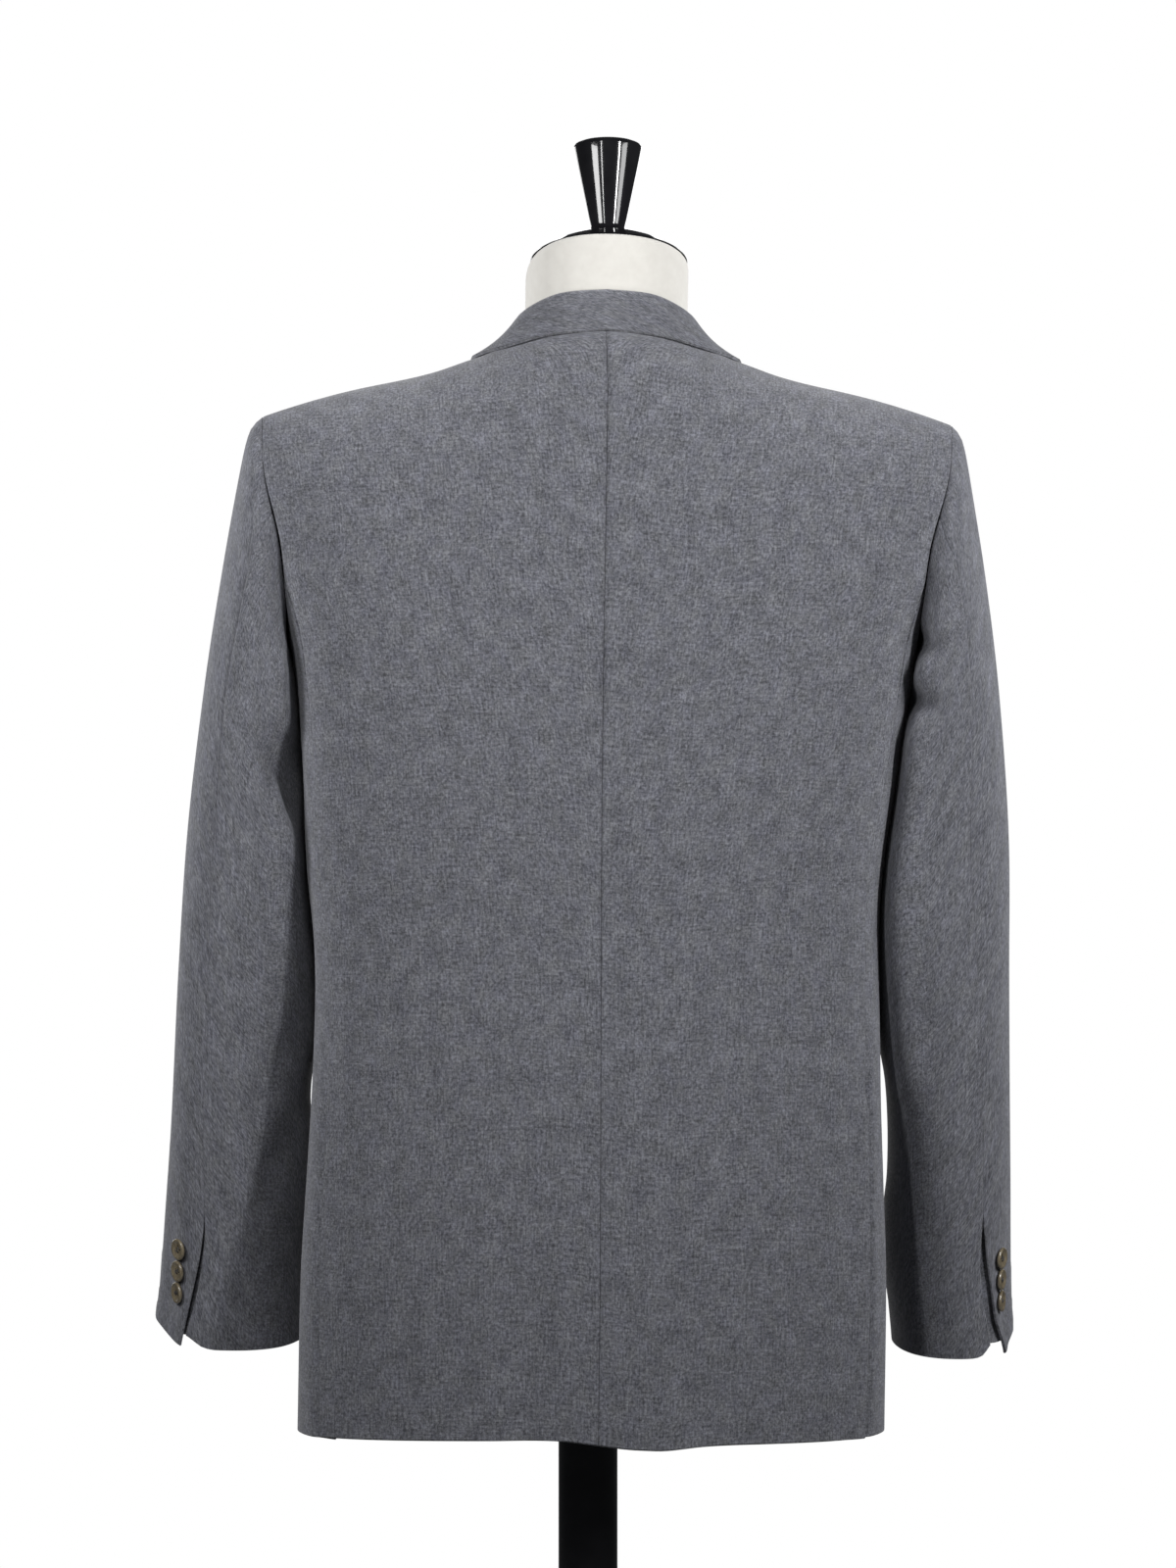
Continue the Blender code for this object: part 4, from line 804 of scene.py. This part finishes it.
def sleeve(side_name, side):
    arm = ARMS[side_name]
    fine_t = np.linspace(0, 9, 400)
    run = arc_length(sleeve_points(side_name, fine_t, np.full((400, 1), 0.15))[:, 0], 0)
    t = np.interp(steps(run[-1], ROW), run, fine_t)
    back, front = (curve(range(10), arm[:, k])(t)[:, None] for k in (6, 7))
    bend, slant = SEAM_BENDS[side_name]
    back = back + (bend * hump(t, 7.6, 0.5) + slant * ease(7.9, 9.0, t))[:, None]
    opening = ease(*VENT_OPENS, t)[:, None]
    slanted = CUFF_OPEN[side_name][0] * opening + CUFF_SLANT[side_name] * ease(
        8.5, 9.0, t)[:, None]
    shape = {"top_sleeve": (front - 1, back - slanted, TOP_WIDTH),
             "under_sleeve": (back + CUFF_OPEN[side_name][1] * opening, front, UNDER_WIDTH)}
    for piece_name, (start, end, wide) in shape.items():
        top = piece_name == "top_sleeve"
        turn = start + (end - start) * along_seam(wide)[None, :]
        points = sleeve_points(side_name, t, turn)
        hem = np.array(CUFF_HEMS[side_name][0 if top else 1])
        points[..., 2] += curve(hem[:, 0], hem[:, 1])(turn) * ease(8.0, 9.0, t)[:, None] ** 2
        out = grid_out(points)
        across, down = arc_length(points, 1), arc_length(points, 0)
        to_seam, to_vent = across, across[:, -1:] - across
        if not top:
            to_seam, to_vent = to_vent, to_seam
        free = ease(*VENT_FREE, t)[:, None]
        behind = ease(-0.04, 0.06, turn) * (1 - ease(0.41, 0.48, turn))
        push = creases(set_in_place(points, side), SLEEVE_FOLDS[side_name]) * behind
        low = 1 - 0.85 * ease(1.385, 1.435, points[..., 2])
        push += seam_dip(down, 0.0012, 0.003) * (0.3 + 0.7 * behind) * low
        against = CLOSE_TO_BODY[side_name](points[..., 2]) * ease(0.9, 1.3, t)[:, None]
        push += against * hump(turn, AGAINST_TURN, AGAINST_REACH)
        push += seam_dip(to_seam) + seam_dip(to_vent) * (1 - free)
        push += (VENT_LAP if top else -VENT_LAP) * free * (1 - ease(0.0, 0.012, to_vent))
        points = points + out * push[..., None]
        edges = (0.1, 0.1 + 0.9 * free[:, 0])
        piece = shell(f"{piece_name}_cloth_{side_name}", points, out, side,
                      soft=(0.3, 1, *(edges if top else edges[::-1])))
        laps = [] if top else [vent_underlap(side_name, side, back)]
        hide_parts(f"{piece_name}_{side_name}")


for side_name, side in SIDES.items():
    sleeve(side_name, side)


# ---------------- the buttons
# Turned horn-like buttons with a raised rim and four holes, sewn on through the cloth
# with doubled thread. Six on the front in three pairs, three kissing on each cuff.
horn, tree, shader = new_material("horn")
where = node(tree, "ShaderNodeTexCoord")
grain = node(tree, "ShaderNodeMapping", Vector=where.outputs["Object"], Scale=(420, 420, 130))
streak = node(tree, "ShaderNodeTexNoise", Vector=grain, Scale=1.0, Detail=4.0, Distortion=1.2)
tone = tones(tree, streak, (0.25, 0.11, 0.088, 0.055), (0.78, 0.27, 0.228, 0.155))
polish = node(tree, "ShaderNodeBump", Strength=0.12, Distance=0.0003, Height=streak)
set_node(shader, Base_Color=tone, Normal=polish, Roughness=0.3, Coat_Weight=0.25)

thread, tree, shader = new_material("sewing_thread")
twist = texture(tree, "Wave", Scale=900.0, Distortion=0.5, _bands_direction="DIAGONAL")
tone = node(tree, "ShaderNodeMix", _data_type="RGBA", Factor=twist.outputs[1],
            i6=(0.03, 0.03, 0.034, 1), i7=(0.09, 0.09, 0.1, 1))
set_node(shader, Base_Color=tone.outputs[2], Roughness=0.6)

BUTTON = np.array((   # part of the radius, height in millimetres, from the middle round
    (0.0, 1.5), (0.15, 1.5), (0.4, 1.6), (0.6, 1.8), (0.68, 2.1), (0.75, 2.6), (0.82, 2.85),
    (0.9, 2.8), (0.96, 2.4), (1.0, 1.7), (0.97, 1.0), (0.88, 0.4), (0.5, 0.3), (0.0, 0.3)))
HOLE_AWAY, HOLE_RADIUS = 0.29, 0.115   # parts of the button's radius
STRAND = 0.00022   # radius of the doubled thread


def band(rings, count, first=0):
    """Four-cornered faces between rings of points that follow one another."""
    for start in range(first, first + (rings - 1) * count, count):
        for c in range(count):
            n = (c + 1) % count
            yield start + c, start + count + c, start + count + n, start + n


def lathe(profile, count):
    """Points and faces of a solid turned round Z from (radius, height) pairs."""
    angle = np.linspace(0, 2 * np.pi, count, endpoint=False)
    rings = np.array(profile, float)[1:-1]
    points = np.stack((rings[:, :1] * np.cos(angle), rings[:, :1] * np.sin(angle),
                       np.repeat(rings[:, 1:], count, 1)), -1).reshape(-1, 3)
    points = np.concatenate((points, ((0, 0, profile[0][1]), (0, 0, profile[-1][1]))))
    faces = list(band(len(rings), count))
    last = (len(rings) - 1) * count
    for c in range(count):
        n = (c + 1) % count
        faces += [(c, n, len(points) - 2), (last + n, last + c, len(points) - 1)]
    return points, faces


def solid(name, points, faces, *materials, slot=None):
    """An object from points and faces of any size."""
    mesh = bpy.data.meshes.new(name)
    mesh.from_pydata([tuple(p) for p in points], [], [tuple(f) for f in faces])
    for material in materials:
        mesh.materials.append(material)
    mesh.update()
    return add_piece(name, mesh, slot)


def button_pattern(diameter):
    """Points, faces and materials of a turned button, drilled and threaded."""
    r = diameter / 2
    disc = solid("button_pattern", *lathe(BUTTON * (r, 0.001), 48), horn, thread)
    drill = []
    for a in np.radians((45, 135, 225, 315)):
        points, faces = lathe(((0, 0.005), (HOLE_RADIUS * r, 0.005), (HOLE_RADIUS * r, -0.003),
                               (0, -0.003)), 14)
        middle = HOLE_AWAY * r * np.array((math.cos(a), math.sin(a), 0))
        drill.append(solid("hole", points + middle, faces, horn))
        cutting = disc.modifiers.new("hole", "BOOLEAN")
        cutting.object, cutting.operation = drill[-1], "DIFFERENCE"
    bpy.context.view_layer.update()
    seen = disc.evaluated_get(bpy.context.evaluated_depsgraph_get())
    mesh = bpy.data.meshes.new_from_object(seen)
    points = [v.co[:] for v in mesh.vertices]
    faces = [p.vertices[:] for p in mesh.polygons]
    kinds = [0] * len(faces)
    away = HOLE_AWAY * r / math.sqrt(2)
    for y in (-away, away):
        for strand in (-1, 0, 1):
            first = len(points)
            for k in range(9):   # rings of six points, arched from hole to hole
                x = away * 1.05 * (k / 4 - 1)
                high = 0.0009 + 0.0014 * math.sin(math.pi * k / 8) ** 0.45
                for a in np.arange(6) * math.pi / 3:
                    points.append((x, y + strand * 1.7 * STRAND + STRAND * math.cos(a),
                                   high + STRAND * math.sin(a) + 0.0001 * (strand == 0)))
            faces += [(a, d, c, b) for a, b, c, d in band(9, 6, first)]
            faces += [range(first, first + 6)[::-1], range(first + 48, first + 54)]
            kinds += [1] * (len(faces) - len(kinds))
    for used in (disc, *drill):
        bpy.data.objects.remove(used)
    return points, faces, kinds


def sew_on(name, pattern, point, normal, side, turned):
    """Lays a button on the cloth."""
    at, tip = (Vector(set_in_place(p, side)) for p in (point, point + normal * 0.01))
    place = Matrix.Translation(at) @ (tip - at).to_track_quat("Z", "Y").to_matrix().to_4x4()
    place = place @ Matrix.Rotation(math.radians(turned), 4, "Z")
    points, faces, kinds = pattern
    piece = solid(name.replace("button", "sewn_button"), [place @ Vector(p) for p in points],
                  faces, horn, thread, slot="horn")
    piece.data.polygons.foreach_set("material_index", kinds)
    piece.data.set_sharp_from_angle(angle=math.radians(38))
    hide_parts(name)


FRONT_BUTTON, CUFF_BUTTON = 0.02, 0.015   # diameters
front_pattern, cuff_pattern = button_pattern(FRONT_BUTTON), button_pattern(CUFF_BUTTON)
BUTTON_ROWS = {"lower": (BREAK - 0.117, 0.055), "middle": (BREAK - 0.012, 0.055),
               "upper": (BREAK + 0.093, 0.088)}   # height, and how far from the centre
for row, (z, x) in BUTTON_ROWS.items():
    for column, own in SIDES.items():
        under = -1 if (row == "upper" and column == "right") else 1
        own_x = x * own * under
        turn, level = find(own_x, z, "front")
        lift = layer("left" if under == 1 else "right", own_x, z) + WALL / 2 + 0.0004
        sew_on(f"front_button_{row}_{column}", front_pattern, laid(turn, level, lift),
               outward(turn, level), under, 12.0 * len(row) + 31 * own)

CUFF_TURNS = {"left": 0.132, "right": 0.118}
CUFF_FIRST, CUFF_PITCH = 0.036, 0.0152   # the lowest above the hem, and between middles
for side_name, side in SIDES.items():
    turn = CUFF_TURNS[side_name]
    for k in range(3):
        height = ARMS[side_name][-1, 1] + CUFF_FIRST + CUFF_PITCH * k
        t = np.linspace(7, 9, 300)
        line = sleeve_points(side_name, t, np.full((300, 1), turn))[:, 0]
        at = float(np.interp(-height, -line[:, 2], t))
        near = sleeve_points(side_name, [at - 0.04, at, at + 0.04],
                             turn + np.array([[-0.01, 0, 0.01]] * 3))
        normal = unit(grid_out(near)[1, 1] + (0.22, 0, 0))
        sew_on(f"cuff_button_{side_name}_{k + 1}", cuff_pattern,
               near[1, 1] + normal * (WALL / 2 + 0.001), normal, side, 90 + 17 * k * side)


# ---------------- the buttonholes
# Worked by hand in silk twist, each stitch over a cord laid round the cut: two in the
# left front, where the buttons fasten, and an open one near each lapel's point.
def stitching():
    """Stitches side by side along a path, over a cord, standing on the cloth."""
    tree = bpy.data.node_groups.new("buttonhole_stitching", "GeometryNodeTree")
    for name, kind, value in (("Path", "Geometry", None), ("Spacing", "Float", 0.00045),
                              ("Reach", "Float", 0.0016), ("Thread Radius", "Float", 0.00019),
                              ("Seed", "Int", 3), ("Thread", "Material", None)):
        socket = tree.interface.new_socket(name, in_out="INPUT", socket_type="NodeSocket" + kind)
        if value is not None:
            socket.default_value = value
    tree.interface.new_socket("Stitches", in_out="OUTPUT", socket_type="NodeSocketGeometry")
    entry, out = tree.nodes.new("NodeGroupInput"), tree.nodes.new("NodeGroupOutput")
    path, spacing, reach, radius, seed, material = entry.outputs[:6]

    def vector(x=0.0, y=0.0, z=0.0):
        return node(tree, "ShaderNodeCombineXYZ", X=x, Y=y, Z=z)

    def times(a, b):
        return node(tree, "ShaderNodeMath", _operation="MULTIPLY", i0=a, i1=b)

    def swept(line, wide):
        round_it = node(tree, "GeometryNodeCurvePrimitiveCircle", Resolution=6, Radius=wide)
        return node(tree, "GeometryNodeCurveToMesh", Curve=line, Fill_Caps=True,
                    Profile_Curve=round_it)

    line = node(tree, "GeometryNodeMeshToCurve", Mesh=path)
    places = node(tree, "GeometryNodeResampleCurve", _mode="LENGTH", Curve=line, Length=spacing)
    over = node(tree, "GeometryNodeCurveQuadraticBezier", Resolution=6,
                Start=vector(y=times(reach, -1.0)),
                Middle=vector(y=times(reach, -0.5), z=times(radius, 5.0)),
                End=vector(y=times(radius, 0.8)))
    along = node(tree, "GeometryNodeInputTangent")
    up = node(tree, "GeometryNodeInputNamedAttribute", _data_type="FLOAT_VECTOR", Name="up")
    turned = node(tree, "FunctionNodeAxesToRotation", Primary_Axis=up, Secondary_Axis=along)
    uneven = node(tree, "FunctionNodeRandomValue", _data_type="FLOAT", i2=0.9, i3=1.12,
                  Seed=seed)
    stitches = node(tree, "GeometryNodeInstanceOnPoints", Points=places,
                    Instance=swept(over, radius), Rotation=turned, Scale=uneven.outputs[1])
    both = node(tree, "GeometryNodeJoinGeometry")
    tree.links.new(stitches.outputs[0], both.inputs[0])
    tree.links.new(swept(places, times(radius, 1.5)).outputs[0], both.inputs[0])
    real = node(tree, "GeometryNodeRealizeInstances", Geometry=both)
    done = node(tree, "GeometryNodeSetMaterial", Geometry=real, Material=material)
    set_node(out, Stitches=done)
    return tree


buttonhole_stitching = stitching()
LIP = 0.00055   # from the cut to the cord's middle


def buttonhole(name, start, end, side_name, lift, seed):
    """Works a buttonhole from one place over a front to another, lifted as the cloth is."""
    side = SIDES[side_name]
    along = np.array(end) - start
    along = along / np.linalg.norm(along)
    lip = np.array((-along[1], along[0])) * LIP
    straight, bend = np.linspace(0, 1, 24)[:, None], np.radians(np.linspace(80, -80, 7))[:, None]
    run = (np.array(end) - start) * straight
    flat = np.concatenate((start + run + lip, end + LIP * np.cos(bend) * along
                           + np.sin(bend) * lip, start + run[::-1] - lip))
    points = on_front(side_name, flat[:, 0], flat[:, 1], lift)
    normals = outward(*find(flat[:, 0], flat[:, 1], "front"))
    placed = set_in_place(points, side)
    up = unit(set_in_place(points + normals * 0.01, side) - placed)
    order = range(len(placed)) if side > 0 else range(len(placed))[::-1]
    path = bpy.data.meshes.new("hole_path")
    path.from_pydata([tuple(placed[k]) for k in order],
                     [(k, k + 1) for k in range(len(placed) - 1)], [])
    path.attributes.new("up", "FLOAT_VECTOR", "POINT").data.foreach_set(
        "vector", np.ascontiguousarray(up[list(order)], np.float32).ravel())
    worked = add_object("hole_path", path)
    nodes = worked.modifiers.new("stitches", "NODES")
    nodes.node_group = buttonhole_stitching
    values = {"Seed": seed, "Thread": thread}
    for socket in buttonhole_stitching.interface.items_tree:
        if socket.in_out == "INPUT" and socket.name in values:
            nodes[socket.identifier] = values[socket.name]
    bpy.context.view_layer.update()
    seen = worked.evaluated_get(bpy.context.evaluated_depsgraph_get())
    mesh = bpy.data.meshes.new_from_object(seen)
    worked.modifiers.clear()
    bpy.data.objects.remove(worked)
    add_piece(name, mesh, "flannel")


HOLE_START, HOLE_END = -0.06, -0.0365   # across, so that the button sits near the start
LAPEL_HOLE = ((0.833, 0.086), (0.805, 0.067))   # parts up the roll line, and out from it
for row in ("lower", "middle"):
    z = BUTTON_ROWS[row][0]
    buttonhole("buttonhole_" + row, (HOLE_START, z), (HOLE_END, z), "left", WALL / 2,
               3 + len(row))
for side_name in SIDES:
    ends = [ROLL_LOW + along * ROLL_RUN + across * ROLL_OUT for along, across in LAPEL_HOLE]
    buttonhole("buttonhole_lapel_" + side_name, *ends, side_name, 2 * FOLD_RADIUS + WALL / 2, 11)


# ---------------- the dress form
# A limbless form: a moulded torso under a stretched cotton cover, a black lacquered cap
# and finial on its neck, and a steel pole down to a weighted plate.
cover, tree, shader = new_material("cotton_cover")
weft = texture(tree, "Wave", Scale=480.0, Distortion=1.2, Detail=2.0, _bands_direction="Z")
warp = texture(tree, "Wave", Scale=520.0, Distortion=1.2, Detail=2.0, _bands_direction="X")
weave = node(tree, "ShaderNodeMath", _operation="ADD", i0=weft.outputs[1], i1=warp.outputs[1])
slub = texture(tree, "Noise", Scale=160.0, Detail=4.0)
tone = tones(tree, slub, (0.3, 0.755, 0.738, 0.7), (0.75, 0.8, 0.786, 0.748))
bump = node(tree, "ShaderNodeBump", Strength=0.35, Distance=0.0002, Height=weave)
set_node(shader, Base_Color=tone, Normal=bump, Roughness=0.9, Diffuse_Roughness=1.0,
         Specular_IOR_Level=0.2)

TORSO = np.array((   # height, half width, front, back, middle, in millimetres
    (865, 178, 112, 102, 0), (960, 176, 110, 99, 0), (1080, 168, 106, 92, 0),
    (1200, 180, 112, 98, 0), (1300, 192, 116, 103, 0), (1370, 202, 108, 104, 0),
    (1420, 204, 92, 92, 0), (1445, 198, 79, 81, 0), (1462, 174, 70, 73, 0),
    (1473.5, 130, 63, 64, 0), (1483, 93, 60, 58, -2), (1490, 77, 59, 56, -5),
    (1499, 64, 58, 54, -7), (1510, 56.8, 57.2, 54.5, -7), (1530, 56, 57.2, 55.5, -7))) / 1000
torso_at = [curve(TORSO[:, 0], column) for column in TORSO.T[1:]]
NECK_TOP, NECK_SLANT = 1.558, math.radians(17)
ROUND, TORSO_SQUARE = 120, 0.92   # points round the torso, and how square it is
angle = np.linspace(0, 2 * np.pi, ROUND, endpoint=False)
side_part, depth_part = (power(part, TORSO_SQUARE) for part in (np.sin(angle), np.cos(angle)))


def torso_ring(z, shrink=0.0, top=False, drop=0.0):
    """Points round the torso at a height, or round its slanting neck top."""
    width, front, back, middle = (column(z) for column in torso_at)
    rounding = 0.28 + 0.42 * np.clip(np.sin(angle), 0, 1) ** 2
    x = (width - shrink * rounding) * side_part
    y = (np.where(np.cos(angle) > 0, back, front) - shrink * rounding) * depth_part
    high = NECK_TOP + math.tan(NECK_SLANT) * y - drop * rounding if top else np.full(ROUND, z)
    return np.stack((x, y + middle, high), -1)


rings = [torso_ring(0.865, 0.004), torso_ring(0.8665, 0.001)]
rings += [torso_ring(z) for z in np.concatenate((np.arange(0.87, 1.4, 0.012),
                                                 np.arange(1.4, 1.518, 0.0045)))]
rings += [torso_ring(1.53, shrink, True, drop) for shrink, drop in (
    (0.0, 0.019), (0.0003, 0.015), (0.0012, 0.0108), (0.0028, 0.007), (0.0052, 0.0038),
    (0.0082, 0.0015), (0.0115, 0.0003), (0.015, 0.0))]
points = set_in_place(np.concatenate(rings), 1)
faces = [(b, c, d, a) for a, b, c, d in band(len(rings), ROUND)]
faces += [range(ROUND), range(len(points) - ROUND, len(points))[::-1]]
torso = solid("covered_torso", points, faces, cover, slot="cover")
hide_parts("form_torso")

lacquer, tree, shader = new_material("black_lacquer")
ripple = texture(tree, "Noise", Scale=420.0, Detail=1.0)
dust = texture(tree, "Noise", Scale=60.0, Detail=6.0)
bump = node(tree, "ShaderNodeBump", Strength=0.05, Distance=0.0003, Height=ripple)
rough = node(tree, "ShaderNodeMapRange", Value=dust, i3=0.06, i4=0.16)
tone = tones(tree, dust, (0.0, 0.004, 0.004, 0.005), (1.0, 0.016, 0.016, 0.018))
set_node(shader, Base_Color=tone, Roughness=rough, Normal=bump, Coat_Weight=0.6,
         Coat_Roughness=0.03)


def turned_part(name, profile, place, replaced, count=96):
    """A lathe-turned part set in its place, from (radius, height) pairs in millimetres."""
    points, faces = lathe(np.array(profile, float) / 1000, count)
    piece = solid(name, [place @ Vector(p) for p in points], faces, lacquer, slot="black")
    piece.data.set_sharp_from_angle(angle=math.radians(50))
    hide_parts(replaced)


neck = np.array(((0, -0.007, 0), (0.01, -0.007, 0), (0, 0.003, 0.01 * math.tan(NECK_SLANT))))
top, beside, behind = (Vector(p) for p in set_in_place(neck + (0, 0, NECK_TOP), 1))
up = (beside - top).cross(behind - top).normalized()
tilt = up.to_track_quat("Z", "Y").to_matrix().to_4x4()
cap_place = (Matrix.Translation(top + Vector((-0.001, 0, -0.0004))) @ tilt
             @ Matrix.Rotation(math.radians(0.8), 4, "Y"))
CAP_RADIUS = 54.2
turned_part("lacquered_cap", np.array((   # parts of the radius
    (0, 20.7), (0.1, 20.6), (0.35, 18.7), (0.6, 14.2), (0.8, 8.6), (0.93, 3.6), (0.985, 2.0),
    (1, 1.0), (0.99, 0.3), (0, 0.3))) * (CAP_RADIUS, 1), cap_place, "form_neck_cap")
finial_place = (Matrix.Translation(top + tilt @ Vector((0, 0, 0.022)))
                @ Matrix.Rotation(math.radians(9), 4, "X"))
turned_part("lacquered_finial", (
    (0, 65.2), (8, 65.1), (16, 64.5), (20.8, 63.7), (22.8, 62.8), (23.6, 61.4), (23.6, 60.0),
    (20.7, 46.0), (16.9, 28.0), (13.1, 10.0), (12.0, 5.5), (11.9, 3.8), (12.8, 2.4),
    (14.6, 1.2), (15.0, 0.4), (14.8, 0), (0, 0)), finial_place, "form_finial")
turned_part("steel_pole", (
    (0, 864.7), (20.25, 864.7), (20.25, 47.0), (21.2, 44.0), (30.0, 33.0), (39.0, 26.2),
    (40.2, 25.0), (40.3, 13.5), (40.0, 12.3), (0, 12.3)), Matrix.Identity(4), "form_pole")
turned_part("base_plate", (
    (0, 12.0), (176, 12.0), (178.6, 11.3), (179.7, 9.8), (180, 8.0), (180, 1.2), (179.2, 0.3),
    (178, 0), (0, 0)), Matrix.Identity(4), "form_base", 160)


# ---------------- floor, light, camera
# A pale studio with a white ground: a soft box and a narrow strip of light on each side of
# the jacket's back, at shoulder height, and a broad bank in front.
FLOOR_RADIUS, FLOOR_TOP = 3.0, -0.0002
points, faces = lathe(((0, FLOOR_TOP), (FLOOR_RADIUS, FLOOR_TOP), (FLOOR_RADIUS, -0.03),
                       (0, -0.03)), 96)
paper, tree, shader = new_material("pale_floor")
fine = texture(tree, "Noise", Scale=30.0, Detail=3.0)
tone = tones(tree, fine, (0.0, 0.7, 0.7, 0.7), (1.0, 0.76, 0.76, 0.76))
set_node(shader, Base_Color=tone, Roughness=0.7)
solid("floor", points, faces, paper)

world = bpy.data.worlds.new("studio")
world.use_nodes = True
bpy.context.scene.world = world
tree = world.node_tree
tree.nodes.clear()
seen = node(tree, "ShaderNodeLightPath")
white = node(tree, "ShaderNodeBackground", Color=(1, 1, 1, 1), Strength=1.0)
room = node(tree, "ShaderNodeBackground", Color=(0.92, 0.95, 1.0, 1), Strength=0.03)
either = node(tree, "ShaderNodeMixShader", i0=seen.outputs["Is Camera Ray"], i1=room, i2=white)
node(tree, "ShaderNodeOutputWorld", Surface=either)

for name, place, aim_z, wide, tall, power_w in (
        ("left_soft", (0.79, 0.76, 1.56), 1.55, 0.42, 0.5, 7.6),
        ("left_strip", (0.45, 1.17, 1.6), 1.6, 0.05, 0.9, 3.1),
        ("right_strip", (-0.86, 0.93, 1.66), 1.6, 0.09, 0.7, 10.6),
        ("right_soft", (-1.06, 0.56, 1.58), 1.55, 0.4, 0.5, 4.5),
        ("front_fill", (0.3, -1.9, 1.35), 1.2, 2.4, 1.2, 20.0)):
    light = bpy.data.lights.new(name, "AREA")
    light.shape, light.size, light.size_y, light.energy = "RECTANGLE", wide, tall, power_w
    lamp = add_object(name, light)
    lamp.location = place
    facing = Vector(place) - Vector((0.0, 0.0, aim_z))
    lamp.rotation_euler = facing.to_track_quat("Z", "Y").to_euler()

camera = add_object("camera", bpy.data.cameras.new("camera"))
camera.data.lens, camera.data.sensor_width = 133.6, 36.0
camera.location = (0.0, 4.0, 1.2)
camera.rotation_euler = (math.radians(90), 0.0, math.radians(180))
bpy.context.scene.camera = camera
bpy.context.scene.view_settings.view_transform = "Standard"
